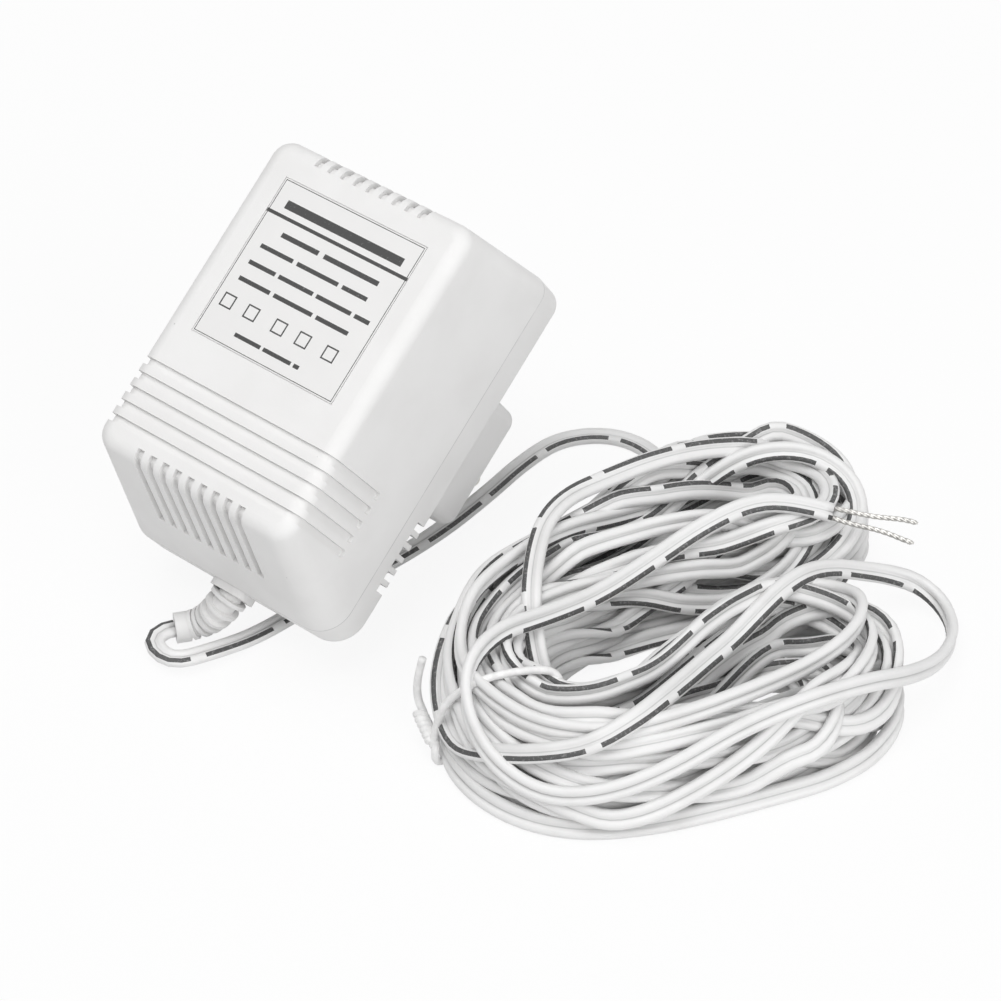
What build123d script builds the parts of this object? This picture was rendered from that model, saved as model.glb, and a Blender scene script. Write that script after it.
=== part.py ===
from build123d import *
import os
from math import acos, cos, radians, sin, tan

# Plug-in adapter for a doorbell: a tapered two-part case round a small transformer, two round
# mains pins on a raised block, and a long flat twin cord wound into a tied hank.
# The case is drawn in its own frame: X across the front, Y from the cord end to the top end,
# Z out of the front. Z = 0 is the back of the case and the pins stand at Y = 0.
# Everything is in millimetres. The finished case is leaned over onto its pins at the end,
# and the cord is drawn where it lies on the table.

# Transformer core
STACK = 20.0
CENTRE_LEG = 16.0
OUTER_LEG = 8.0
WINDOW_HEIGHT = 8.0
WINDOW_LENGTH = 24.0
YOKE = 8.0
CORE_Y = -4.0

# Bobbin, windings and what is wrapped round them
LEG_GAP = 0.2
BOBBIN_WALL = 0.8
BOBBIN_END_GAP = 0.2
END_FLANGE = 1.6
MID_FLANGE = 1.0
WINDING_BUILD = 5.0
WINDING_ROUND = 3.0
TAPE = 0.4
FLANGE_RIM = 0.4
WINDOW_GAP = 0.4
FUSE_WIDTH = 4.0
FUSE_LENGTH = 8.0
FUSE_THICK = 2.2

# Terminals of the bobbin and the leads inside
TERMINAL_RADIUS = 0.4
TERMINAL_DEPTH = 2.4
TERMINAL_LENGTH = 4.2
TERMINAL_PITCH = 6.0
TERMINAL_Y = -5.0
LEAD_RADIUS = 0.7
LEAD_BEND = 1.6
LEAD_GAP = 0.5
LEAD_SPACING = 2.1

# Case
WALL = 2.2
COIL_ROOM = 1.0
SIDE_ROOM = 1.8
TOP_ROOM = 9.9
BOTTOM_ROOM = 6.8
SIDE_DRAFT = 3.2
TOP_DRAFT = 3.4
BOTTOM_DRAFT = 9.8
COVER_DEPTH = 8.2
TOP_CORNER = 4.0
BOTTOM_CORNER = 7.0
FRONT_CORNER = 4.2
FRONT_EDGE = 3.2
BACK_EDGE = 1.2
POST = 3.6
POST_INSET = 0.3
TONGUE = 1.2
TONGUE_GAP = 0.3
TONGUE_RISE = 2.0
TONGUE_LENGTH = 38.0
TONGUE_Y = 5.0

# Grooves round the front and sides, and slots over the two end edges
GROOVE_COUNT = 5
GROOVE_PITCH = 3.19
GROOVE_FIRST_Y = -18.96
GROOVE_WIDTH = 1.6
GROOVE_DEPTH = 0.8
GROOVE_REACH = 19.4
GROOVE_END_ROUND = 0.7
SLOT_COUNT = 9
SLOT_PITCH = 3.18
SLOT_WIDTH = 1.6
SLOT_DEPTH = 1.2
SLOT_ROUND = 1.5
LOW_SLOT_ON_FRONT = 2.4
LOW_SLOT_REACH = 20.0
TOP_SLOT_ON_FRONT = 2.7
TOP_SLOT_REACH = 16.0

# Vents through the side edges of the back
VENT_COUNT = 6
VENT_PITCH = 2.8
VENT_FIRST_Y = -32.6
VENT_WIDTH = 1.7
VENT_RISE = 4.0
VENT_REACH = 6.5

# Rating label in its recess
LABEL_WIDTH = 34.8
LABEL_HEIGHT = 34.7
LABEL_TOP = 7.1
LABEL_THICK = 0.3
LABEL_GAP = 0.15

# Plug block and pins
BLOCK_WIDTH = 41.4
BLOCK_LENGTH = 27.0
BLOCK_HEIGHT = 21.9
BLOCK_CORNER = 3.0
BLOCK_EDGE = 1.0
BLOCK_WALL = 2.4
BLOCK_FLOOR = 3.0
PIN_SPACING = 19.0
PIN_RADIUS = 2.0
PIN_LENGTH = 19.0
PIN_TIP_ROUND = 1.6
SHANK_RADIUS = 1.6
SLEEVE_RADIUS = 1.8
SLEEVE_LENGTH = 10.0
COLLAR_RADIUS = 3.0
COLLAR_THICK = 1.2
STUB_RADIUS = 1.4
STUB_LENGTH = 3.3

# Strain relief
NOTCH_WIDTH = 6.2
NECK_GAP = 0.1
ANCHOR_WIDTH = 9.0
ANCHOR_THICK = 1.5
BASE_WIDTH = 8.6
BASE_HEIGHT = 7.6
BASE_THICK = 1.5
BASE_ROUND = 2.4
RELIEF_START_RUN = 4.0
RELIEF_END_RUN = 5.4
RELIEF_BEND = 7.2
RELIEF_CORE = 2.5
RING_COUNT = 6
RING_THICK = 0.8
RING_FIRST_RADIUS = 3.9
RING_LAST_RADIUS = 3.1
TIP_LENGTH = 3.0

# How the adapter lies: leaned over onto its two pins
TILT = 33.2

# Cord: two round cores side by side, and its way over the table from the strain relief to the hank
CORE_RADIUS = 1.05
CORE_OFFSET = 1.0
ON_TABLE = 1.1
AT_RELIEF = 3.12
CORD_ROUTE = [
    (-8.6, -38.8, AT_RELIEF),
    (-10.5, -41.1, AT_RELIEF),
    (-9.1, -45.2, AT_RELIEF),
    (-2.7, -46.2, AT_RELIEF),
    (1.5, -39.0, AT_RELIEF),
    (4.2, -29.0, ON_TABLE),
    (6.8, -15.5, ON_TABLE),
    (10.8, -0.5, ON_TABLE),
    (14.0, 15.5, ON_TABLE),
    (14.8, 31.0, ON_TABLE),
    (14.6, 44.5, ON_TABLE),
    (16.4, 55.4, ON_TABLE),
    (25.4, 63.6, ON_TABLE),
    (37.6, 63.2, ON_TABLE),
    (41.0, 52.4, ON_TABLE),
    (36.6, 40.5, ON_TABLE),
    (32.2, 29.5, ON_TABLE),
    (32.8, 20.0, 1.5),
    (34.9, 13.6, 3.2),
]
BEND_SHARE = 0.45

# Hank of cord beside the adapter, its tie and the cord's loose end on top
HANK_X = 76.0
HANK_Y = 19.1
HANK_TURN = 73.0
HANK_HALF_LENGTH = 56.0
HANK_HALF_WIDTH = 37.5
HANK_HEIGHT = 16.0
HOLE_HALF_LENGTH = 26.0
HOLE_HALF_WIDTH = 8.0
HANK_TOP_ROUND = 5.0
HANK_LOW_ROUND = 3.0
TIE_RADIUS = 0.8
TIE_GAP = 0.1
TIE_BEND = 1.2
TIE_TAIL_OUT = 3.0
TIE_TAIL_UP = 12.0
TAIL_X = 84.0
TAIL_Y = 52.6
TAIL_TURN = 52.0
TAIL_LENGTH = 16.0
BARE_RADIUS = 0.4
BARE_LENGTH = 17.0
BARE_SPREAD = 3.0

# Sizes that follow from the transformer: core, bobbin and the case that fits round them
CORE_WIDTH = 2 * YOKE + WINDOW_LENGTH
CORE_LENGTH = CENTRE_LEG + 2 * WINDOW_HEIGHT + 2 * OUTER_LEG
TUBE_Y = CENTRE_LEG + 2 * (LEG_GAP + BOBBIN_WALL)
TUBE_Z = STACK + 2 * (LEG_GAP + BOBBIN_WALL)
COIL_Y = TUBE_Y + 2 * WINDING_BUILD
COIL_Z = TUBE_Z + 2 * WINDING_BUILD
FLANGE_Y = CENTRE_LEG + 2 * WINDOW_HEIGHT - 2 * WINDOW_GAP
FLANGE_Z = COIL_Z + 2 * (TAPE + FLANGE_RIM)
BOBBIN_LENGTH = WINDOW_LENGTH - 2 * BOBBIN_END_GAP
CHAMBER = (BOBBIN_LENGTH - 2 * END_FLANGE - MID_FLANGE) / 2
CHAMBER_X = (MID_FLANGE + CHAMBER) / 2

CASE_DEPTH = FLANGE_Z + 2 * COIL_ROOM + 2 * WALL
CORE_Z = CASE_DEPTH / 2
CORE_BACK = CORE_Z - STACK / 2
CORE_FRONT = CORE_Z + STACK / 2
COIL_BACK = CORE_Z - FLANGE_Z / 2
FRONT_WIDTH = CORE_WIDTH + 2 * SIDE_ROOM + 2 * WALL
FRONT_TOP = CORE_Y + CORE_LENGTH / 2 + TOP_ROOM + WALL
FRONT_BOTTOM = CORE_Y - CORE_LENGTH / 2 - BOTTOM_ROOM - WALL
PARTING_WIDTH = FRONT_WIDTH + 2 * SIDE_DRAFT
PARTING_TOP = FRONT_TOP + TOP_DRAFT
PARTING_BOTTOM = FRONT_BOTTOM - BOTTOM_DRAFT
SHELL_DEPTH = CASE_DEPTH - COVER_DEPTH
LABEL_Y = FRONT_TOP - LABEL_TOP - LABEL_HEIGHT / 2
CORD_Z = COVER_DEPTH / 2
TERMINAL_X = (BOBBIN_LENGTH - END_FLANGE) / 2
TERMINAL_TIP = COIL_BACK - TERMINAL_LENGTH
STUB_END = -BLOCK_HEIGHT + BLOCK_FLOOR + COLLAR_THICK + STUB_LENGTH
LEAD_END_Y = PARTING_BOTTOM + WALL + ANCHOR_THICK

POST_X = CORE_WIDTH / 2 - POST / 2 - POST_INSET
POST_Y = CORE_LENGTH / 2 - OUTER_LEG / 2
post_places = [(x, CORE_Y + y) for x in (-POST_X, POST_X) for y in (-POST_Y, POST_Y)]
pin_places = [(-PIN_SPACING / 2, 0), (PIN_SPACING / 2, 0)]
terminal_ys = [TERMINAL_Y - TERMINAL_PITCH / 2, TERMINAL_Y + TERMINAL_PITCH / 2]


def case_section(height, inset=0.0):
    """Outline of the case at a height above its back, moved in by an inset, on the XY plane."""
    rise = (height - COVER_DEPTH) / SHELL_DEPTH
    half = PARTING_WIDTH / 2 - rise * SIDE_DRAFT - inset
    top = PARTING_TOP - rise * TOP_DRAFT - inset
    bottom = PARTING_BOTTOM + rise * BOTTOM_DRAFT + inset
    low_corner = BOTTOM_CORNER + rise * (FRONT_CORNER - BOTTOM_CORNER) - inset
    high_corner = TOP_CORNER + rise * (FRONT_CORNER - TOP_CORNER) - inset
    with BuildSketch() as section:
        with Locations((0, (top + bottom) / 2)):
            Rectangle(2 * half, top - bottom)
        fillet(section.vertices().group_by(Axis.Y)[0], low_corner)
        fillet(section.vertices().group_by(Axis.Y)[-1], high_corner)
    return section.sketch


def edge_slot(front_y, foot_y, on_front, reach):
    """Profile, in Y and Z, of a slot that starts on the front and runs down over an end edge.

    The end wall runs from front_y at the front to foot_y at the parting line. The slot starts
    on_front away from that edge and goes down the wall as far as its reach.
    """
    way = 1 if foot_y > front_y else -1
    down = Vector(foot_y - front_y, -SHELL_DEPTH).normalized()
    inward = Vector(way * down.Y, -way * down.X) * SLOT_DEPTH
    floor = CASE_DEPTH - SLOT_DEPTH
    above = CASE_DEPTH + SLOT_DEPTH
    start_y = front_y - way * on_front
    wall_top = Vector(front_y, CASE_DEPTH) + inward
    corner = wall_top + down * ((floor - wall_top.Y) / down.Y)
    foot = wall_top + down * (-reach / down.Y)
    outside = foot - inward * 3
    with BuildSketch() as profile:
        Polygon(
            (start_y, above),
            (start_y, floor),
            (corner.X, corner.Y),
            (foot.X, foot.Y),
            (outside.X, outside.Y),
            (outside.X, above),
            align=None,
        )
        fillet(profile.vertices().sort_by_distance(corner)[0], SLOT_ROUND)
    return profile.sketch


# Front shell: deep tapered shell with grooves, edge slots and a label recess
slot_places = [(i - (SLOT_COUNT - 1) / 2) * SLOT_PITCH for i in range(SLOT_COUNT)]
groove_places = [GROOVE_FIRST_Y - i * GROOVE_PITCH for i in range(GROOVE_COUNT)]
groove_end = CASE_DEPTH - GROOVE_REACH
groove_half = FRONT_WIDTH / 2 + SIDE_DRAFT * GROOVE_REACH / SHELL_DEPTH - GROOVE_DEPTH
front_half = FRONT_WIDTH / 2 - GROOVE_DEPTH
slots = [
    edge_slot(FRONT_BOTTOM, PARTING_BOTTOM, LOW_SLOT_ON_FRONT, LOW_SLOT_REACH),
    edge_slot(FRONT_TOP, PARTING_TOP, TOP_SLOT_ON_FRONT, TOP_SLOT_REACH),
]

with BuildPart() as front_shell:
    with BuildSketch(Plane.XY.offset(COVER_DEPTH)):
        add(case_section(COVER_DEPTH))
    with BuildSketch(Plane.XY.offset(CASE_DEPTH)):
        add(case_section(CASE_DEPTH))
    loft(ruled=True)
    fillet(front_shell.faces().sort_by(Axis.Z)[-1].edges(), FRONT_EDGE)
    with BuildSketch(Plane.XY.offset(COVER_DEPTH)):
        add(case_section(COVER_DEPTH, WALL))
    with BuildSketch(Plane.XY.offset(CASE_DEPTH - WALL)):
        add(case_section(CASE_DEPTH - WALL, WALL))
    loft(ruled=True, mode=Mode.SUBTRACT)

    with BuildSketch(*[Plane.XZ.offset(-y) for y in groove_places]) as grooves:
        with Locations((0, groove_end)):
            Rectangle(2 * PARTING_WIDTH, CASE_DEPTH, align=(Align.CENTER, Align.MIN))
        Polygon(
            (-groove_half, groove_end),
            (groove_half, groove_end),
            (front_half, CASE_DEPTH - GROOVE_DEPTH),
            (-front_half, CASE_DEPTH - GROOVE_DEPTH),
            align=None,
            mode=Mode.SUBTRACT,
        )
        fillet(grooves.vertices().group_by(Axis.Y)[1], FRONT_EDGE - GROOVE_DEPTH)
    extrude(amount=GROOVE_WIDTH / 2, both=True, mode=Mode.SUBTRACT)
    level_edges = front_shell.edges().filter_by(Axis.X)
    fillet(level_edges.filter_by(lambda e: abs(e.center().Z - groove_end) < LABEL_THICK), GROOVE_END_ROUND)

    for slot in slots:
        with BuildSketch(*[Plane.YZ.offset(x) for x in slot_places]):
            add(slot)
        extrude(amount=SLOT_WIDTH / 2, both=True, mode=Mode.SUBTRACT)

    with BuildSketch(Plane.XY.offset(CASE_DEPTH)):
        with Locations((0, LABEL_Y)):
            Rectangle(LABEL_WIDTH + 2 * LABEL_GAP, LABEL_HEIGHT + 2 * LABEL_GAP)
    extrude(amount=-LABEL_THICK, mode=Mode.SUBTRACT)
    with BuildSketch(Plane.XY.offset(CORE_FRONT)):
        with Locations(post_places):
            Rectangle(POST, POST)
    extrude(amount=CASE_DEPTH - WALL - CORE_FRONT)

# Rating label, let into the front
with BuildPart() as rating_label:
    with BuildSketch(Plane.XY.offset(CASE_DEPTH - LABEL_THICK)):
        with Locations((0, LABEL_Y)):
            Rectangle(LABEL_WIDTH, LABEL_HEIGHT)
    extrude(amount=LABEL_THICK)

# Back cover: shallow tray with the plug block, side vents and the notch for the strain relief
tongue_x = PARTING_WIDTH / 2 - WALL - TONGUE_GAP - TONGUE / 2
vent_places = [VENT_FIRST_Y + i * VENT_PITCH for i in range(VENT_COUNT)]
vent_x = PARTING_WIDTH / 2 - VENT_REACH / 2

with BuildPart() as back_cover:
    with BuildSketch():
        add(case_section(COVER_DEPTH))
    extrude(amount=COVER_DEPTH)
    fillet(back_cover.faces().sort_by(Axis.Z)[0].edges(), BACK_EDGE)
    with BuildSketch():
        RectangleRounded(BLOCK_WIDTH, BLOCK_LENGTH, BLOCK_CORNER)
    extrude(amount=-BLOCK_HEIGHT)
    fillet(back_cover.faces().sort_by(Axis.Z)[0].edges(), BLOCK_EDGE)

    with BuildSketch(Plane.XY.offset(WALL)):
        add(case_section(COVER_DEPTH, WALL))
    extrude(amount=COVER_DEPTH - WALL, mode=Mode.SUBTRACT)
    with BuildSketch(Plane.XY.offset(WALL)):
        RectangleRounded(
            BLOCK_WIDTH - 2 * BLOCK_WALL,
            BLOCK_LENGTH - 2 * BLOCK_WALL,
            BLOCK_CORNER - BLOCK_WALL,
        )
    extrude(amount=-(BLOCK_HEIGHT + WALL - BLOCK_FLOOR), mode=Mode.SUBTRACT)
    with BuildSketch(Plane.XY.offset(-BLOCK_HEIGHT)):
        with Locations(pin_places):
            Circle(SLEEVE_RADIUS)
    extrude(amount=BLOCK_FLOOR, mode=Mode.SUBTRACT)

    with BuildSketch(Plane.XY.offset(WALL)):
        with Locations(post_places):
            Rectangle(POST, POST)
    extrude(amount=CORE_BACK - WALL)
    with BuildSketch(Plane.XY.offset(WALL)):
        with Locations((-tongue_x, TONGUE_Y), (tongue_x, TONGUE_Y)):
            Rectangle(TONGUE, TONGUE_LENGTH)
    extrude(amount=COVER_DEPTH - WALL + TONGUE_RISE)

    with BuildSketch():
        with Locations([(x, y) for x in (-vent_x, vent_x) for y in vent_places]):
            Rectangle(VENT_REACH, VENT_WIDTH)
    extrude(amount=VENT_RISE, mode=Mode.SUBTRACT)
    with BuildSketch(Plane.XY.offset(WALL)):
        with Locations((0, PARTING_BOTTOM + WALL / 2)):
            Rectangle(NOTCH_WIDTH, 2 * WALL)
    extrude(amount=COVER_DEPTH - WALL, mode=Mode.SUBTRACT)


def plug_pin(x):
    """Round pin with a thin shank for its sleeve, a collar inside the block and a solder stub."""
    face = -BLOCK_HEIGHT
    tip = face - PIN_LENGTH
    shoulder = face - SLEEVE_LENGTH
    seat = face + BLOCK_FLOOR
    with BuildPart() as pin:
        with BuildSketch(Plane(origin=(x, 0, 0), x_dir=(1, 0, 0), z_dir=(0, -1, 0))) as profile:
            Polygon(
                (0, tip),
                (PIN_RADIUS, tip),
                (PIN_RADIUS, shoulder),
                (SHANK_RADIUS, shoulder),
                (SHANK_RADIUS, seat),
                (COLLAR_RADIUS, seat),
                (COLLAR_RADIUS, seat + COLLAR_THICK),
                (STUB_RADIUS, seat + COLLAR_THICK),
                (STUB_RADIUS, STUB_END),
                (0, STUB_END),
                align=None,
            )
            fillet(profile.vertices().sort_by_distance((PIN_RADIUS, tip))[0], PIN_TIP_ROUND)
        revolve(axis=Axis((x, 0, 0), (0, 0, 1)))
    return pin.part


def pin_sleeve(x):
    """Insulating sleeve on a pin, from its shoulder through the face of the block."""
    with BuildPart() as sleeve:
        with BuildSketch(Plane.XY.offset(-BLOCK_HEIGHT - SLEEVE_LENGTH)):
            with Locations((x, 0)):
                Circle(SLEEVE_RADIUS)
                Circle(SHANK_RADIUS, mode=Mode.SUBTRACT)
        extrude(amount=SLEEVE_LENGTH + BLOCK_FLOOR)
    return sleeve.part


# Laminated core: the E stack and the I stack that closes its legs
window_y = (CENTRE_LEG + WINDOW_HEIGHT) / 2
with BuildPart() as core_e_stack:
    with BuildSketch(Plane.XY.offset(CORE_BACK)):
        with Locations((-YOKE / 2, CORE_Y)):
            Rectangle(YOKE + WINDOW_LENGTH, CORE_LENGTH)
        with Locations((0, CORE_Y - window_y), (0, CORE_Y + window_y)):
            Rectangle(WINDOW_LENGTH, WINDOW_HEIGHT, mode=Mode.SUBTRACT)
    extrude(amount=STACK)

with BuildPart() as core_i_stack:
    with BuildSketch(Plane.XY.offset(CORE_BACK)):
        with Locations(((WINDOW_LENGTH + YOKE) / 2, CORE_Y)):
            Rectangle(YOKE, CORE_LENGTH)
    extrude(amount=STACK)


def coil_plane(x):
    """Plane across the centre leg of the core, with the case's Y along its own X."""
    return Plane(origin=(x, CORE_Y, CORE_Z), x_dir=(0, 1, 0), z_dir=(1, 0, 0))


# Bobbin: a tube on the centre leg with two end flanges and one between the chambers
with BuildPart() as bobbin:
    with BuildSketch(coil_plane(-BOBBIN_LENGTH / 2)):
        Rectangle(TUBE_Y, TUBE_Z)
    extrude(amount=BOBBIN_LENGTH)
    with BuildSketch(coil_plane(-BOBBIN_LENGTH / 2), coil_plane(BOBBIN_LENGTH / 2 - END_FLANGE)):
        Rectangle(FLANGE_Y, FLANGE_Z)
    extrude(amount=END_FLANGE)
    with BuildSketch(coil_plane(-MID_FLANGE / 2)):
        Rectangle(FLANGE_Y, FLANGE_Z)
    extrude(amount=MID_FLANGE)
    with BuildSketch(coil_plane(-BOBBIN_LENGTH / 2)):
        Rectangle(CENTRE_LEG + 2 * LEG_GAP, STACK + 2 * LEG_GAP)
    extrude(amount=BOBBIN_LENGTH, mode=Mode.SUBTRACT)
    with BuildSketch(Plane.XY.offset(COIL_BACK)):
        with Locations([(x, y) for x in (-TERMINAL_X, TERMINAL_X) for y in terminal_ys]):
            Circle(TERMINAL_RADIUS)
    extrude(amount=TERMINAL_DEPTH, mode=Mode.SUBTRACT)


def winding(x):
    """One winding, from the bobbin's tube out to its rounded outer turns."""
    with BuildPart() as coil:
        with BuildSketch(coil_plane(x - CHAMBER / 2)):
            RectangleRounded(COIL_Y, COIL_Z, WINDING_ROUND)
            Rectangle(TUBE_Y, TUBE_Z, mode=Mode.SUBTRACT)
        extrude(amount=CHAMBER)
    return coil.part


def tape_wrap(x):
    """Insulating tape round one winding."""
    with BuildPart() as tape:
        with BuildSketch(coil_plane(x - CHAMBER / 2)):
            RectangleRounded(COIL_Y + 2 * TAPE, COIL_Z + 2 * TAPE, WINDING_ROUND + TAPE)
            RectangleRounded(COIL_Y, COIL_Z, WINDING_ROUND, mode=Mode.SUBTRACT)
        extrude(amount=CHAMBER)
    return tape.part


def terminal_pair(x):
    """Two wire terminals set in one end flange of the bobbin."""
    with BuildPart() as terminals:
        with BuildSketch(Plane.XY.offset(TERMINAL_TIP)):
            with Locations([(x, y) for y in terminal_ys]):
                Circle(TERMINAL_RADIUS)
        extrude(amount=TERMINAL_LENGTH + TERMINAL_DEPTH)
    return terminals.part


# Thermal fuse, flat against the back of the primary's tape
with BuildPart() as thermal_fuse:
    with BuildSketch(Plane.XY.offset(CORE_Z - COIL_Z / 2 - TAPE)):
        with Locations((-CHAMBER_X, CORE_Y)):
            Rectangle(FUSE_WIDTH, FUSE_LENGTH)
    extrude(amount=-FUSE_THICK)
    fillet(thermal_fuse.faces().sort_by(Axis.Z)[0].edges(), FUSE_THICK / 4)


def lead(*points):
    """Insulated lead along straight runs with rounded bends."""
    with BuildPart() as wire:
        with BuildLine() as route:
            FilletPolyline(*points, radius=LEAD_BEND)
        with BuildSketch(Plane(origin=route.line @ 0, z_dir=route.line % 0)):
            Circle(LEAD_RADIUS)
        sweep()
    return wire.part


# Leads from the pins up to the primary, and from the secondary along the core to the strain relief
pin_x = PIN_SPACING / 2
low_y, high_y = terminal_ys
inner_x = BOBBIN_LENGTH / 2 + LEAD_GAP + LEAD_RADIUS
outer_x = inner_x + 2 * LEAD_RADIUS + LEAD_GAP
below_tips = TERMINAL_TIP - 2 * LEAD_BEND
above_stub = STUB_END + 3 * LEAD_BEND
over_floor = (WALL + CORE_BACK) / 2
core_end_y = CORE_Y - CORE_LENGTH / 2

left_mains_lead = lead(
    (-pin_x, 0, STUB_END),
    (-pin_x, 0, above_stub),
    (-TERMINAL_X, high_y, below_tips),
    (-TERMINAL_X, high_y, TERMINAL_TIP),
)
right_mains_lead = lead(
    (pin_x, 0, STUB_END),
    (pin_x, 0, above_stub),
    (-TERMINAL_X, low_y, below_tips),
    (-TERMINAL_X, low_y, TERMINAL_TIP),
)
output_lead_a = lead(
    (TERMINAL_X, high_y, TERMINAL_TIP),
    (TERMINAL_X, high_y, below_tips),
    (inner_x, high_y - 2 * LEAD_BEND, below_tips),
    (inner_x, low_y, over_floor),
    (inner_x, core_end_y, over_floor),
    (-LEAD_SPACING / 2, LEAD_END_Y + 3 * LEAD_BEND, CORD_Z),
    (-LEAD_SPACING / 2, LEAD_END_Y, CORD_Z),
)
output_lead_b = lead(
    (TERMINAL_X, low_y, TERMINAL_TIP),
    (TERMINAL_X, low_y, below_tips),
    (outer_x, low_y, below_tips),
    (outer_x, low_y, over_floor),
    (outer_x, core_end_y - 2 * LEAD_BEND, over_floor),
    (LEAD_SPACING / 2, LEAD_END_Y + 2 * LEAD_BEND, CORD_Z),
    (LEAD_SPACING / 2, LEAD_END_Y, CORD_Z),
)

# Rest pose: leaned over until the pin tips stand on the table, with the case over the origin
pin_reach = BLOCK_HEIGHT + PIN_LENGTH - PIN_TIP_ROUND
tip_flat = PIN_RADIUS - PIN_TIP_ROUND
seat_z = pin_reach * cos(radians(TILT)) + tip_flat * sin(radians(TILT)) + PIN_TIP_ROUND
lean = Pos(0, 0, seat_z) * Rot(TILT, 0, 0)
leaned = [(lean * shell.part).bounding_box() for shell in (front_shell, back_cover)]
seat_y = -(min(box.min.Y for box in leaned) + max(box.max.Y for box in leaned)) / 2
rest = Pos(0, seat_y, 0) * lean

# Strain relief: anchored in the notch, then ringed and bent round to meet the cord on the table
first_run = Vector(*CORD_ROUTE[1]) - Vector(*CORD_ROUTE[0])
knee = Vector(*CORD_ROUTE[0]) - first_run.normalized() * RELIEF_END_RUN
relief_knee = (rest.inverse() * Pos(knee)).position
relief_tip = (rest.inverse() * Pos(*CORD_ROUTE[0])).position
neck_height = COVER_DEPTH - WALL - 2 * NECK_GAP
neck_z = (COVER_DEPTH + WALL) / 2

with BuildPart() as strain_relief:
    with BuildSketch(Plane.XZ.offset(-LEAD_END_Y)):
        with Locations((0, neck_z)):
            Rectangle(ANCHOR_WIDTH, neck_height)
    extrude(amount=ANCHOR_THICK)
    with BuildSketch(Plane.XZ.offset(-LEAD_END_Y)):
        with Locations((0, neck_z)):
            Rectangle(NOTCH_WIDTH - 2 * NECK_GAP, neck_height)
    extrude(amount=ANCHOR_THICK + WALL)
    with BuildSketch(Plane.XZ.offset(-PARTING_BOTTOM)):
        with Locations((0, CORD_Z)):
            RectangleRounded(BASE_WIDTH, BASE_HEIGHT, BASE_ROUND)
    extrude(amount=BASE_THICK)

    with BuildLine() as relief_line:
        FilletPolyline(
            (0, PARTING_BOTTOM, CORD_Z),
            (0, PARTING_BOTTOM - RELIEF_START_RUN, CORD_Z),
            relief_knee,
            relief_tip,
            radius=RELIEF_BEND,
        )
    axis = relief_line.wires()[0]
    with BuildSketch(Plane(origin=axis @ 0, z_dir=axis % 0)):
        Circle(RELIEF_CORE)
    sweep()
    first_ring = BASE_THICK + RING_THICK
    ring_step = (axis.length - TIP_LENGTH - RING_THICK - first_ring) / (RING_COUNT - 1)
    taper = (RING_FIRST_RADIUS - RING_LAST_RADIUS) / (RING_COUNT - 1)
    for i in range(RING_COUNT):
        share = (first_ring + i * ring_step) / axis.length
        with BuildSketch(Plane(origin=axis @ share, z_dir=axis % share)):
            Circle(RING_FIRST_RADIUS - i * taper)
        extrude(amount=RING_THICK / 2, both=True)
    with BuildSketch(Plane(origin=axis @ 1, z_dir=axis % 1)):
        Circle(RING_LAST_RADIUS)
    extrude(amount=-TIP_LENGTH)

# Cord on the table, with each bend as wide as its two runs allow
runs = [Vector(*b) - Vector(*a) for a, b in zip(CORD_ROUTE, CORD_ROUTE[1:])]
bends = []
for before, after in zip(runs, runs[1:]):
    turn = acos(before.normalized().dot(after.normalized()))
    bends.append(BEND_SHARE * min(before.length, after.length) / tan(turn / 2))
print("cord bend radii", [round(bend, 1) for bend in bends])


def cord_section(start, heading):
    """Section plane of the flat cord, with its wide way level."""
    return Plane(origin=start, x_dir=(heading.Y, -heading.X, 0), z_dir=heading)


with BuildPart() as cord_run:
    with BuildLine() as cord_line:
        FilletPolyline(*CORD_ROUTE, radius=bends)
    with BuildSketch(cord_section(cord_line.line @ 0, cord_line.line % 0)):
        with Locations((-CORE_OFFSET, 0), (CORE_OFFSET, 0)):
            Circle(CORE_RADIUS)
    sweep()
print("cord run length", round(cord_line.wires()[0].length, 1), "volume", round(cord_run.part.volume, 1))

# Hank: all the turns of cord as one oval ring, pinched where the tie goes round it
hank_long = Vector(cos(radians(HANK_TURN)), sin(radians(HANK_TURN)), 0)
hank_plane = Plane(origin=(HANK_X, HANK_Y, 0), x_dir=hank_long, z_dir=(0, 0, 1))
tie_plane = Plane(origin=(HANK_X, HANK_Y, 0), x_dir=hank_long, z_dir=hank_long.cross(Vector(0, 0, 1)))
tie_groove = 2 * (TIE_RADIUS + TIE_GAP)
tie_outer = -HANK_HALF_LENGTH - TIE_GAP - TIE_RADIUS
tie_inner = -HOLE_HALF_LENGTH + TIE_GAP + TIE_RADIUS

with BuildPart() as cord_hank:
    with BuildSketch(hank_plane):
        Ellipse(HANK_HALF_LENGTH, HANK_HALF_WIDTH)
        Ellipse(HOLE_HALF_LENGTH, HOLE_HALF_WIDTH, mode=Mode.SUBTRACT)
    extrude(amount=HANK_HEIGHT)
    fillet(cord_hank.faces().sort_by(Axis.Z)[-1].edges(), HANK_TOP_ROUND)
    fillet(cord_hank.faces().sort_by(Axis.Z)[0].edges(), HANK_LOW_ROUND)
    with BuildSketch(hank_plane):
        with Locations((tie_outer, 0)):
            Rectangle(tie_inner - tie_outer, tie_groove, align=(Align.MIN, Align.CENTER))
    extrude(amount=tie_groove, mode=Mode.SUBTRACT)

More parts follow.
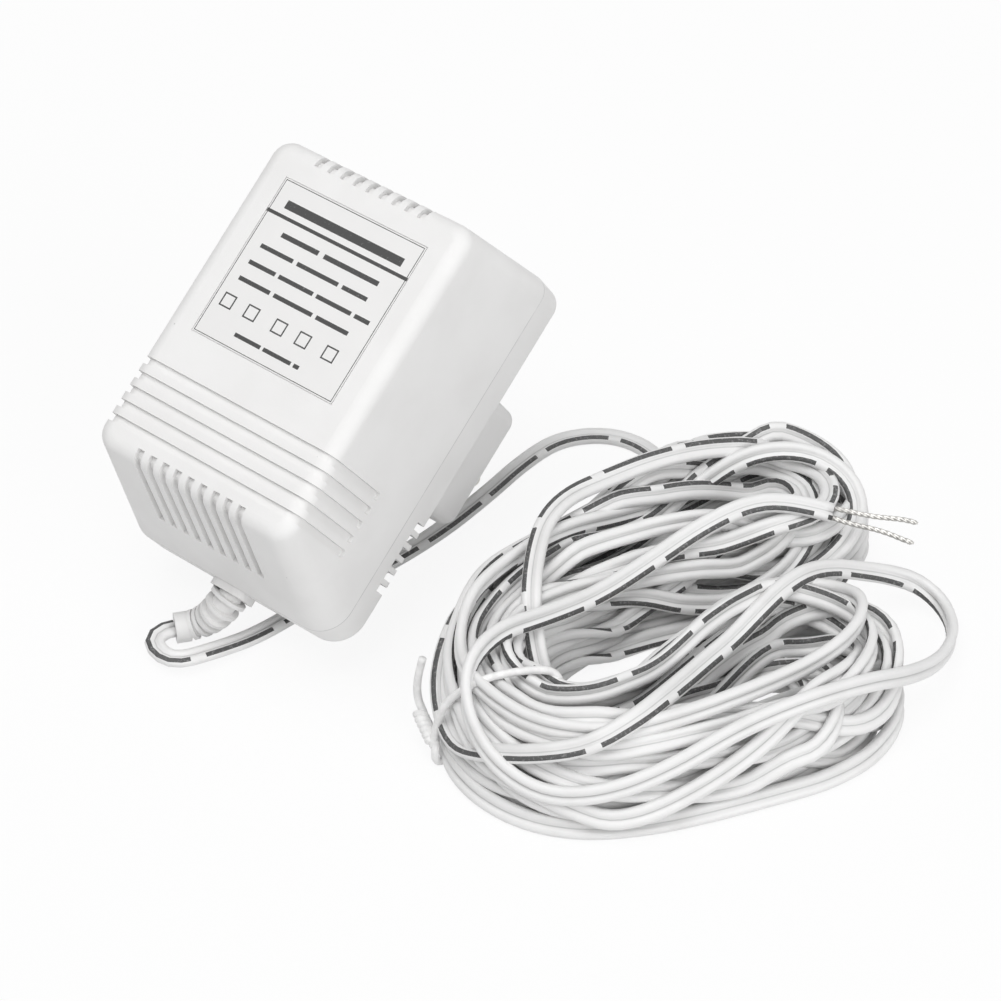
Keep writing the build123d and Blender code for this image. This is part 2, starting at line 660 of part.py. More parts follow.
with BuildPart() as twist_tie:
    with BuildLine(tie_plane) as tie_loop:
        FilletPolyline(
            (tie_outer, TIE_RADIUS),
            (tie_inner, TIE_RADIUS),
            (tie_inner, HANK_HEIGHT + TIE_GAP + TIE_RADIUS),
            (tie_outer, HANK_HEIGHT + TIE_GAP + TIE_RADIUS),
            radius=TIE_BEND,
            close=True,
        )
    with BuildSketch(Plane(origin=tie_loop.line @ 0, z_dir=tie_loop.line % 0)):
        Circle(TIE_RADIUS)
    sweep()
    with BuildLine(tie_plane) as tie_end:
        FilletPolyline(
            (tie_outer, HANK_HEIGHT / 2),
            (tie_outer - TIE_TAIL_OUT, HANK_HEIGHT / 2),
            (tie_outer - TIE_TAIL_OUT, HANK_HEIGHT / 2 + TIE_TAIL_UP),
            radius=2 * TIE_RADIUS,
        )
    with BuildSketch(Plane(origin=tie_end.line @ 0, z_dir=tie_end.line % 0)):
        Circle(TIE_RADIUS)
    sweep()

# Loose end of the cord on top of the hank, and its two stripped ends
tail_way = Vector(cos(radians(TAIL_TURN)), sin(radians(TAIL_TURN)), 0)
tail_end = Vector(TAIL_X, TAIL_Y, HANK_HEIGHT + CORE_RADIUS)

with BuildPart() as cord_tail:
    with BuildSketch(cord_section(tail_end, tail_way)):
        with Locations((-CORE_OFFSET, 0), (CORE_OFFSET, 0)):
            Circle(CORE_RADIUS)
    extrude(amount=-TAIL_LENGTH)


def bare_end(side):
    """Tinned end of one core, turned slightly away from the other."""
    start = tail_end + Vector(tail_way.Y, -tail_way.X, 0) * (side * CORE_OFFSET)
    way = tail_way.rotate(Axis.Z, -side * BARE_SPREAD)
    with BuildPart() as wire:
        with BuildSketch(cord_section(start, tail_way)):
            Circle(BARE_RADIUS)
        extrude(amount=BARE_LENGTH, dir=way)
    return wire.part


case_pieces = {
    "front_shell": front_shell.part,
    "rating_label": rating_label.part,
    "back_cover": back_cover.part,
    "left_plug_pin": plug_pin(-pin_x),
    "right_plug_pin": plug_pin(pin_x),
    "left_pin_sleeve": pin_sleeve(-pin_x),
    "right_pin_sleeve": pin_sleeve(pin_x),
    "core_e_stack": core_e_stack.part,
    "core_i_stack": core_i_stack.part,
    "bobbin": bobbin.part,
    "primary_winding": winding(-CHAMBER_X),
    "secondary_winding": winding(CHAMBER_X),
    "primary_tape": tape_wrap(-CHAMBER_X),
    "secondary_tape": tape_wrap(CHAMBER_X),
    "thermal_fuse": thermal_fuse.part,
    "primary_terminals": terminal_pair(-TERMINAL_X),
    "secondary_terminals": terminal_pair(TERMINAL_X),
    "left_mains_lead": left_mains_lead,
    "right_mains_lead": right_mains_lead,
    "output_lead_a": output_lead_a,
    "output_lead_b": output_lead_b,
    "strain_relief": strain_relief.part,
}
cord_pieces = {
    "cord_run": cord_run.part,
    "cord_hank": cord_hank.part,
    "twist_tie": twist_tie.part,
    "cord_tail": cord_tail.part,
    "bare_end_a": bare_end(-1),
    "bare_end_b": bare_end(1),
}

os.makedirs("parts", exist_ok=True)
pieces = {name: rest * piece for name, piece in case_pieces.items()} | cord_pieces
for name, piece in pieces.items():
    piece.label = name
    export_step(piece, f"parts/{name}.step")
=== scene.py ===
"""Dresses the doorbell power adapter: case finishes, printed label, flat twin cord in its hank, stage.

Sizes are in millimetres unless a name says otherwise, and go into the meshes in metres.
"""
import logging
import math
from dataclasses import dataclass, field
from enum import Enum
from typing import Any, Sequence

import bpy
import numpy as np
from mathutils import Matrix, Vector


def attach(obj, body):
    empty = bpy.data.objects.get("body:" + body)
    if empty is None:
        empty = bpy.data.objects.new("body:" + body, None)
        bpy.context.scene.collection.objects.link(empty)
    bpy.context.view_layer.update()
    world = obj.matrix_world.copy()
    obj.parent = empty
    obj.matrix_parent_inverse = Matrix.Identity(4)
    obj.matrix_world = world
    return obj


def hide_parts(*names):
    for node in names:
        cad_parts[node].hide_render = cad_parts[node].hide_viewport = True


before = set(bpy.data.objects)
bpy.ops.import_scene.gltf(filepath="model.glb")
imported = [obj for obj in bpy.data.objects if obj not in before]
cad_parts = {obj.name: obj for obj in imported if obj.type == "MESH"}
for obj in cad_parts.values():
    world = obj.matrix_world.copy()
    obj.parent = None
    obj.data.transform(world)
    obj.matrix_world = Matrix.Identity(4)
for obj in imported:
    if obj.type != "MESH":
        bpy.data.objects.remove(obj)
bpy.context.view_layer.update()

MM = 0.001
BODY = "root"
# Lean of the case, the middle of its back and how far in front of that its two shells meet
CASE_TILT_DEG = 33.2
CASE_BACK = (0.0, 11.546, 34.704)
PARTING_DEPTH = 8.2
UP = np.array((0.0, 0.0, 1.0))
UV_NAME = "along"

Colour = tuple[float, float, float, float]
Triple = tuple[float, float, float]
TopPoint = tuple[float, float, float, float]

log = logging.getLogger("adapter")


# Shader graphs

class Sock:
    """A shader socket whose arithmetic adds Math nodes to its graph."""

    def __init__(self, graph: "Graph", socket: bpy.types.NodeSocket) -> None:
        """Keeps the graph and the output socket."""
        self.graph = graph
        self.socket = socket

    def __add__(self, other: Any) -> "Sock":
        """Sum."""
        return self.graph.math("ADD", self, other)

    __radd__ = __add__

    def __sub__(self, other: Any) -> "Sock":
        """Difference."""
        return self.graph.math("SUBTRACT", self, other)

    def __rsub__(self, other: Any) -> "Sock":
        """Difference with a number first."""
        return self.graph.math("SUBTRACT", other, self)

    def __mul__(self, other: Any) -> "Sock":
        """Product."""
        return self.graph.math("MULTIPLY", self, other)

    __rmul__ = __mul__

    def __truediv__(self, other: Any) -> "Sock":
        """Quotient."""
        return self.graph.math("DIVIDE", self, other)

    def __rtruediv__(self, other: Any) -> "Sock":
        """Quotient with a number first."""
        return self.graph.math("DIVIDE", other, self)

    def __abs__(self) -> "Sock":
        """Absolute value."""
        return self.graph.math("ABSOLUTE", self)

    def __lt__(self, other: Any) -> "Sock":
        """1 where the value is below the other."""
        return self.graph.math("LESS_THAN", self, other)

    def __gt__(self, other: Any) -> "Sock":
        """1 where the value is above the other."""
        return self.graph.math("GREATER_THAN", self, other)

    def fract(self) -> "Sock":
        """Part after the decimal point."""
        return self.graph.math("FRACT", self)

    def sine(self) -> "Sock":
        """Sine of the value in radians."""
        return self.graph.math("SINE", self)

    def either(self, other: "Sock") -> "Sock":
        """Larger of two masks."""
        return self.graph.math("MAXIMUM", self, other)

    def ramp(self, low: float, high: float) -> "Sock":
        """0 below low, 1 above high and smooth between."""
        settings = {"interpolation_type": "SMOOTHSTEP"}
        sockets = {"Value": self, "From Min": low, "From Max": high}
        return self.graph.node("ShaderNodeMapRange", settings, sockets)


class Graph:
    """The node graph of one material."""

    def __init__(self, name: str) -> None:
        """Starts an empty material of that name."""
        self.material = bpy.data.materials.new(name)
        self.material.use_nodes = True
        self.tree = self.material.node_tree
        self.tree.nodes.clear()

    def node(self, kind: str, settings: dict | None = None, sockets: dict | None = None,
             output: int | str = 0) -> Sock:
        """Adds a node.

        Args:
            kind: Type of the node.
            settings: Its own settings, set first.
            sockets: Values or links of its inputs, by name or place.
            output: Which output to return.

        Returns:
            The chosen output.
        """
        made = self.tree.nodes.new(kind)
        for key, value in (settings or {}).items():
            setattr(made, key, value)
        for key, value in (sockets or {}).items():
            if isinstance(value, Sock):
                self.tree.links.new(value.socket, made.inputs[key])
            else:
                made.inputs[key].default_value = value
        return Sock(self, made.outputs[output])

    def math(self, operation: str, *values: Any) -> Sock:
        """Adds a Math node on one to three values."""
        return self.node("ShaderNodeMath", {"operation": operation}, dict(enumerate(values)))

    def place(self) -> Sock:
        """Object coordinates, in metres."""
        return self.node("ShaderNodeTexCoord", output="Object")

    def uv(self) -> tuple[Sock, Sock]:
        """The two parts of the piece's own UV map."""
        vector = self.node("ShaderNodeUVMap", {"uv_map": UV_NAME})
        split = self.node("ShaderNodeSeparateXYZ", sockets={0: vector})
        return split, Sock(self, split.socket.node.outputs[1])

    def axes(self) -> tuple[Sock, Sock, Sock]:
        """The three parts of the object coordinates."""
        first = self.node("ShaderNodeSeparateXYZ", sockets={0: self.place()})
        outputs = first.socket.node.outputs
        return first, Sock(self, outputs[1]), Sock(self, outputs[2])

    def noise(self, grain: float, detail: float = 3.0) -> Sock:
        """Noise from 0 to 1 whose features are about grain millimetres wide."""
        sockets = {"Vector": self.place(), "Scale": 1 / (grain * MM), "Detail": detail}
        return self.node("ShaderNodeTexNoise", None, sockets)

    def blend(self, factor: Any, first: Any, second: Any) -> Sock:
        """Colour between two colours."""
        sockets = {0: factor, 6: first, 7: second}
        return self.node("ShaderNodeMix", {"data_type": "RGBA"}, sockets, output=2)

    def bump(self, height: Sock, depth: float, strength: float = 1.0) -> Sock:
        """Normal of a relief that is depth millimetres deep."""
        sockets = {"Height": height, "Distance": depth * MM, "Strength": strength}
        return self.node("ShaderNodeBump", None, sockets)

    def finish(self, **sockets: Any) -> bpy.types.Material:
        """Ends the graph in a Principled shader.

        Args:
            sockets: Its inputs, with underscores for the spaces in their names.

        Returns:
            The material.
        """
        named = {key.replace("_", " "): value for key, value in sockets.items()}
        shader = self.node("ShaderNodeBsdfPrincipled", None, named)
        self.node_output(shader)
        return self.material

    def node_output(self, shader: Sock) -> None:
        """Links a shader to the material's output."""
        end = self.tree.nodes.new("ShaderNodeOutputMaterial")
        self.tree.links.new(shader.socket, end.inputs["Surface"])


def grey(level: float, warm: float = 0.0) -> Colour:
    """A grey of that level, a little warmer or colder."""
    return (level + warm, level, level - warm, 1.0)


# Finishes

def case_depth(graph: Graph) -> Sock:
    """Distance in front of the case's back plane, in metres, along the tilted case's own axis."""
    _, y, z = graph.axes()
    tilt = math.radians(CASE_TILT_DEG)
    return (z - CASE_BACK[2] * MM) * math.cos(tilt) - (y - CASE_BACK[1] * MM) * math.sin(tilt)


@dataclass(frozen=True)
class MouldedPlastic:
    """Satin moulded plastic with a fine grain, faint mottling and a few specks.

    Where it has a seam, a fine dark line runs at that depth in front of the case's back.
    """
    name: str
    colour: Colour
    shade: Colour
    roughness: float = 0.5
    grain: float = 0.35
    grain_depth: float = 0.012
    speck_spacing: float = 9.0
    speck_size: float = 0.014
    seam: float | None = None
    seam_half: float = 0.16
    seam_strength: float = 0.6
    shine: float = 0.25
    mottle_size: float = 14.0
    speck_strength: float = 0.6
    dark_share: float = 0.55
    seam_breaks: float = 4.0
    grain_sheen: float = 0.14
    mottle_sheen: float = 0.06

    def make(self) -> bpy.types.Material:
        """Builds the material."""
        graph = Graph(self.name)
        mottling = graph.noise(self.mottle_size, 4.0).ramp(0.3, 0.75)
        spots = graph.node("ShaderNodeTexVoronoi", None,
                           {"Vector": graph.place(), "Scale": 1 / (self.speck_spacing * MM)})
        specks = 1 - spots.ramp(self.speck_size, self.speck_size * 1.8)
        fine = graph.noise(self.grain, 2.0)
        colour = graph.blend(mottling, self.colour, self.shade)
        dark = tuple(self.dark_share * part for part in self.colour[:3]) + (1.0,)
        colour = graph.blend(specks * self.speck_strength, colour, dark)
        if self.seam is not None:
            away = abs(case_depth(graph) - self.seam * MM)
            line = 1 - away.ramp(0.5 * self.seam_half * MM, self.seam_half * MM)
            broken = graph.noise(self.seam_breaks).ramp(0.2, 0.5)
            colour = graph.blend(line * broken * self.seam_strength, colour, dark)
        roughness = self.roughness + self.grain_sheen * (fine - 0.5) + self.mottle_sheen * (mottling - 0.5)
        return graph.finish(Base_Color=colour, Roughness=roughness, Specular_IOR_Level=self.shine,
                            Normal=graph.bump(fine, self.grain_depth))


@dataclass(frozen=True)
class PrintBar:
    """One bar of the label's print, as shares of the label's width and height."""
    left: float
    right: float
    middle: float
    height: float
    words: float = 0.0


@dataclass(frozen=True)
class PrintedLabel:
    """Off-white label film with a thin border, one thick rule and plain bars."""
    name: str = "label_film"
    width: float = 34.8
    height: float = 34.7
    centre: Triple = (0.0, -3.955, 72.363)
    border: float = 0.16
    border_inset: float = 0.25
    film: Colour = grey(0.80, 0.006)
    film_shade: Colour = grey(0.76, 0.004)
    ink: Colour = grey(0.035)
    worn_ink: Colour = grey(0.16)
    word_gap: float = 0.09
    bars: tuple[PrintBar, ...] = (
        PrintBar(0.0, 1.0, 0.207, 0.021),
        PrintBar(0.09, 0.92, 0.135, 0.052),
        PrintBar(0.17, 0.86, 0.300, 0.030, 2.3),
        PrintBar(0.09, 0.85, 0.405, 0.026, 3.1),
        PrintBar(0.08, 0.94, 0.515, 0.026, 3.7),
        PrintBar(0.08, 0.86, 0.620, 0.026, 3.3),
        PrintBar(0.25, 0.71, 0.912, 0.024, 4.6),
    )
    square_row: float = 0.765
    square_places: tuple[float, ...] = (0.10, 0.27, 0.47, 0.64, 0.83)
    square_half: float = 0.042
    square_line: float = 0.009

    def bar_mask(self, across: Sock, down: Sock, bar: PrintBar) -> Sock:
        """Mask of a bar, broken into word lengths where it has any."""
        half = (bar.right - bar.left) / 2
        mask = abs(across - (bar.left + half)) < half
        mask = mask * (abs(down - bar.middle) < bar.height / 2)
        if bar.words:
            mask = mask * ((across * bar.words).fract() > self.word_gap)
        return mask

    def square_mask(self, across: Sock, down: Sock, place: float) -> Sock:
        """Mask of the outline of a small square: inside the outer edge and outside the inner one."""
        reach = abs(across - place).either(abs(down - self.square_row))
        return (reach < self.square_half) * (reach > self.square_half - self.square_line)

    def make(self) -> bpy.types.Material:
        """Builds the material from the place on the tilted front."""
        graph = Graph(self.name)
        x, y, z = graph.axes()
        tilt = math.radians(CASE_TILT_DEG)
        along = (y - self.centre[1] * MM) * math.cos(tilt) + (z - self.centre[2] * MM) * math.sin(tilt)
        across = x / (self.width * MM) + 0.5
        down = 0.5 - along / (self.height * MM)
        edge = abs(across - 0.5).either(abs(down - 0.5))
        outer = 0.5 - self.border_inset / self.width
        printed = (edge < outer) * (edge > outer - self.border / self.width)
        for bar in self.bars:
            printed = printed.either(self.bar_mask(across, down, bar))
        for place in self.square_places:
            printed = printed.either(self.square_mask(across, down, place))
        worn = graph.noise(0.5, 2.0).ramp(0.15, 0.4)
        ink = graph.blend(worn, self.worn_ink, self.ink)
        film = graph.blend(graph.noise(9.0), self.film, self.film_shade)
        fine = graph.noise(0.25, 2.0)
        return graph.finish(Base_Color=graph.blend(printed, film, ink),
                            Roughness=0.34 + 0.12 * fine + 0.1 * printed,
                            Normal=graph.bump(fine, 0.004))


@dataclass(frozen=True)
class PlatedMetal:
    """Plated metal with fine turning marks and faint tarnish."""
    name: str
    colour: Colour
    roughness: float = 0.22
    grain: float = 0.3
    dull_share: float = 0.72

    def make(self) -> bpy.types.Material:
        """Builds the material."""
        graph = Graph(self.name)
        fine = graph.noise(self.grain, 4.0)
        tarnish = graph.noise(4.0, 3.0).ramp(0.35, 0.8)
        dull = tuple(self.dull_share * part for part in self.colour[:3]) + (1.0,)
        return graph.finish(Base_Color=graph.blend(tarnish, self.colour, dull), Metallic=1.0,
                            Roughness=self.roughness + 0.12 * fine + 0.1 * tarnish,
                            Normal=graph.bump(fine, 0.006))


@dataclass(frozen=True)
class StackedSteel:
    """Stacked steel sheets: fine lines across the stack, with rust bloom at the edges of the sheets."""
    name: str = "core_sheets"
    sheet: float = 0.5
    steel: Colour = grey(0.32)
    gap: Colour = grey(0.07)
    rust: Colour = (0.19, 0.12, 0.08, 1.0)

    def make(self) -> bpy.types.Material:
        """Builds the material, with its lines across the tilted stack."""
        graph = Graph(self.name)
        lines = (case_depth(graph) / (self.sheet * MM)).fract()
        seam = (abs(lines - 0.5) * 2).ramp(0.7, 1.0)
        bloom = graph.noise(3.0, 5.0).ramp(0.5, 0.8)
        colour = graph.blend(seam, self.steel, self.gap)
        colour = graph.blend(bloom * 0.5, colour, self.rust)
        return graph.finish(Base_Color=colour, Metallic=1 - 0.6 * bloom,
                            Roughness=0.36 + 0.3 * bloom, Normal=graph.bump(1 - seam, 0.05))


@dataclass(frozen=True)
class WoundWire:
    """Enamelled wire wound in layers: fine ridges across the bobbin's axis, with painted shade in the
    valleys between turns.
    """
    name: str = "enamelled_wire"
    pitch: float = 0.3
    colour: Colour = (0.50, 0.17, 0.06, 1.0)
    pale: Colour = (0.62, 0.26, 0.10, 1.0)
    # Darker copper painted into the valleys between turns as shade
    dark: Colour = (0.20, 0.06, 0.02, 1.0)

    def make(self) -> bpy.types.Material:
        """Builds the material, with its ridges along X."""
        graph = Graph(self.name)
        x, _, _ = graph.axes()
        ridge = (x * (2 * math.pi / (self.pitch * MM))).sine() * 0.5 + 0.5
        patch = graph.noise(2.5, 3.0)
        colour = graph.blend(patch, self.colour, self.pale)
        # Painted shade: the colour falls to the dark copper in the valleys between the turns
        return graph.finish(Base_Color=graph.blend(ridge, self.dark, colour),
                            Metallic=0.85, Roughness=0.25 + 0.15 * patch,
                            Normal=graph.bump(ridge, 0.1))


@dataclass(frozen=True)
class FilmTape:
    """Thin yellow tape: glossy, with faint wrinkles along the wrap."""
    name: str = "yellow_tape"
    colour: Colour = (0.72, 0.47, 0.05, 1.0)
    pale: Colour = (0.83, 0.62, 0.11, 1.0)

    def make(self) -> bpy.types.Material:
        """Builds the material."""
        graph = Graph(self.name)
        wrinkle = graph.noise(2.2, 4.0)
        colour = graph.blend(wrinkle, self.colour, self.pale)
        return graph.finish(Base_Color=colour, Roughness=0.2 + 0.2 * wrinkle,
                            Normal=graph.bump(wrinkle, 0.05))


@dataclass(frozen=True)
class CordJacket:
    """White cord jacket with long printed dashes on one face of one core, faint handling marks, and painted
    shade along the groove between the two cores.
    """
    name: str = "cord_jacket"
    colour: Colour = grey(0.79, 0.002)
    shade: Colour = grey(0.72, 0.004)
    ink: Colour = grey(0.07)
    dash_pitch: float = 18.4
    dash_share: float = 0.84
    dash_left: float = 0.098
    dash_right: float = 0.186
    # Half width, strength and colour of the painted shade along the waist groove between the cores
    painted_groove_shade_half: float = 0.03
    painted_groove_shade_strength: float = 0.4
    painted_groove_shade_colour: Colour = grey(0.25)
    ink_wear: float = 0.25

    def make(self) -> bpy.types.Material:
        """Builds the material; the map runs along the cord in millimetres and once round its section."""
        graph = Graph(self.name)
        along, turn = graph.uv()
        phase = (along / self.dash_pitch).fract()
        dash = (phase < self.dash_share) * (turn > self.dash_left) * (turn < self.dash_right)
        wear = graph.noise(0.6, 3.0).ramp(0.2, 0.5)
        marks = graph.noise(11.0, 4.0).ramp(0.45, 0.8)
        fine = graph.noise(0.5, 2.0)
        # Painted shade: a dark band where the two cores meet, at the waist of the section
        waist = abs((turn * 2).fract() - 0.5)
        painted_groove_shade = waist.ramp(0.5 - 2 * self.painted_groove_shade_half, 0.5)
        colour = graph.blend(marks, self.colour, self.shade)
        colour = graph.blend(painted_groove_shade * self.painted_groove_shade_strength, colour, self.painted_groove_shade_colour)
        colour = graph.blend(dash * (1 - self.ink_wear + self.ink_wear * wear), colour, self.ink)
        return graph.finish(Base_Color=colour, Roughness=0.36 + 0.14 * fine + 0.12 * dash,
                            Normal=graph.bump(fine, 0.015))


@dataclass(frozen=True)
class PlainInsulation:
    """Soft insulation of one colour with faint rubbing."""
    name: str
    colour: Colour
    roughness: float = 0.5

    def make(self) -> bpy.types.Material:
        """Builds the material."""
        graph = Graph(self.name)
        rub = graph.noise(2.0, 4.0).ramp(0.3, 0.8)
        fine = graph.noise(0.4, 2.0)
        pale = tuple(min(1.0, part * 1.18 + 0.012) for part in self.colour[:3]) + (1.0,)
        return graph.finish(Base_Color=graph.blend(rub, self.colour, pale),
                            Roughness=self.roughness + 0.15 * (fine - 0.5),
                            Normal=graph.bump(fine, 0.015))


# Mesh building

def unit(vectors: np.ndarray) -> np.ndarray:
    """Vectors divided by their lengths."""
    return vectors / np.maximum(np.linalg.norm(vectors, axis=-1, keepdims=True), 1e-12)


def directions(points: np.ndarray) -> np.ndarray:
    """Direction of travel at each point of a path."""
    return unit(np.gradient(points, axis=0))


def s_curve(share: np.ndarray) -> np.ndarray:
    """S curve from 0 to 1 that starts and ends level."""
    return share * share * (3 - 2 * share)


def make_object(name: str, points: np.ndarray, faces: list,
                maps: np.ndarray | None = None) -> bpy.types.Object:
    """Makes a smooth mesh object.

    Args:
        name: Name of the piece.
        points: Vertices in metres.
        faces: Corner numbers of each face.
        maps: UV place of each corner, in the order of the faces.

    Returns:
        The object, linked to the scene.
    """
    mesh = bpy.data.meshes.new(name)
    mesh.from_pydata(points, [], faces)
    mesh.polygons.foreach_set("use_smooth", np.ones(len(faces), dtype=bool))
    if maps is not None:
        layer = mesh.uv_layers.new(name=UV_NAME)
        layer.data.foreach_set("uv", maps.astype(np.float32).ravel())
    mesh.update()
    made = bpy.data.objects.new(name, mesh)
    bpy.context.collection.objects.link(made)
    return made


def spline_points(route: np.ndarray, resolution: int) -> np.ndarray:
    """Points along the smooth spline that has the route's points as its control points.

    Args:
        route: Control points, three numbers each.
        resolution: Points for each control point.

    Returns:
        The points read from the spline.
    """
    curve = bpy.data.curves.new("route", "CURVE")
    curve.dimensions = "3D"
    spline = curve.splines.new("NURBS")
    spline.points.add(len(route) - 1)
    spline.points.foreach_set("co", np.column_stack((route, np.ones(len(route)))).ravel())
    spline.order_u = 3
    spline.use_endpoint_u = True
    spline.resolution_u = resolution
    holder = bpy.data.objects.new("route", curve)
    mesh = bpy.data.meshes.new_from_object(holder)
    points = np.empty(len(mesh.vertices) * 3)
    mesh.vertices.foreach_get("co", points)
    bpy.data.objects.remove(holder)
    bpy.data.curves.remove(curve)
    bpy.data.meshes.remove(mesh)
    return points.reshape(-1, 3)


def path_lengths(points: np.ndarray) -> np.ndarray:
    """Length along the points up to each of them."""
    steps = np.linalg.norm(np.diff(points, axis=0), axis=1)
    return np.concatenate(((0.0,), np.cumsum(steps)))


def even_points(points: np.ndarray, spacing: float, *values: np.ndarray) -> tuple[np.ndarray, ...]:
    """Points at even spacing along a fine line, and values that go with them.

    Args:
        points: The fine line.
        spacing: Distance between the points returned.
        values: Numbers at each point of the fine line.

    Returns:
        The points, then each of the values there.
    """
    lengths = path_lengths(points)
    wanted = np.linspace(0, lengths[-1], max(2, round(lengths[-1] / spacing) + 1))
    placed = np.column_stack([np.interp(wanted, lengths, points[:, axis]) for axis in range(3)])
    return (placed, *[np.interp(wanted, lengths, value) for value in values])


def carry_section(name: str, centres: np.ndarray, first: np.ndarray, second: np.ndarray,
                  outline: np.ndarray) -> bpy.types.Object:
    """Carries a closed section along a path: centre + first axis times u + second axis times v.

    Args:
        name: Name of the piece.
        centres: Path in millimetres.
        first: The section's first axis at each point.
        second: Its second axis, so that first x second points along the path.
        outline: The section, anticlockwise: one outline for all, or one for each point.

    Returns:
        A closed tube whose map runs along the path in millimetres and once round the section.
    """
    shape = np.broadcast_to(outline, (len(centres), *outline.shape[-2:]))
    rings = centres[:, None] + shape[..., :1] * first[:, None] + shape[..., 1:] * second[:, None]
    rows, columns = rings.shape[:2]
    number = np.arange(rows * columns).reshape(rows, columns)
    beside = np.roll(number, -1, axis=1)
    quads = np.stack((number[:-1], beside[:-1], beside[1:], number[1:]), axis=-1).reshape(-1, 4)
    start, end = rows * columns, rows * columns + 1
    ring = np.arange(columns)
    turned = np.roll(ring, -1)
    start_cap = np.column_stack((np.full(columns, start), turned, ring))
    end_cap = np.column_stack((np.full(columns, end), ring + start - columns, turned + start - columns))
    along = path_lengths(centres)
    low, high = np.meshgrid(along[:-1], ring / columns, indexing="ij")
    far = np.broadcast_to(along[1:, None], low.shape)
    side = 1 / columns
    quad_maps = np.stack((low, high, low, high + side, far, high + side, far, high), axis=-1)
    cap_maps = np.zeros((columns * 2, 3, 2))
    maps = np.concatenate((quad_maps.reshape(-1, 2), cap_maps.reshape(-1, 2)))
    points = np.concatenate((rings.reshape(-1, 3), centres[:1], centres[-1:])) * MM
    return make_object(name, points, quads.tolist() + start_cap.tolist() + end_cap.tolist(), maps)


def side_axis(tangents: np.ndarray) -> np.ndarray:
    """Level axis to the left of each direction of travel."""
    return unit(np.cross(UP, tangents) + np.array((1e-6, 0.0, 0.0)))


def rolled_axis(tangents: np.ndarray, roll: np.ndarray) -> np.ndarray:
    """Axis across the cord's flat: upright at a roll of 0 and level, to the left, at a quarter turn."""
    side = side_axis(tangents)
    upright = np.cross(tangents, side)
    return unit(np.cos(roll)[:, None] * upright + np.sin(roll)[:, None] * side)


# Cord

@dataclass(frozen=True)
class Turn:
    """One turn of the hank: a flattened loop round the hank's middle line.

    Lanes say how far its outgoing and returning runs lie across the hank at a few stations, from -1 at
    the inner edge to 1 at the outer edge. Reaches say how far its two folds go past the line's ends. A
    flipped turn gives its last stretch half a turn of twist.
    """
    out_lanes: tuple[float, ...]
    back_lanes: tuple[float, ...]
    near_reach: float
    far_reach: float
    near_radius: float
    far_radius: float
    flipped: bool


def eased(places: np.ndarray, stations: Sequence[float], values: Sequence[float]) -> np.ndarray:
    """Values between stations, along an S curve from each station to the next so that none is a corner."""
    marks, levels = np.asarray(stations), np.asarray(values)
    index = np.clip(np.searchsorted(marks, places) - 1, 0, len(marks) - 2)
    share = s_curve(np.clip((places - marks[index]) / (marks[index + 1] - marks[index]), 0, 1))
    return levels[index] + share * (levels[index + 1] - levels[index])


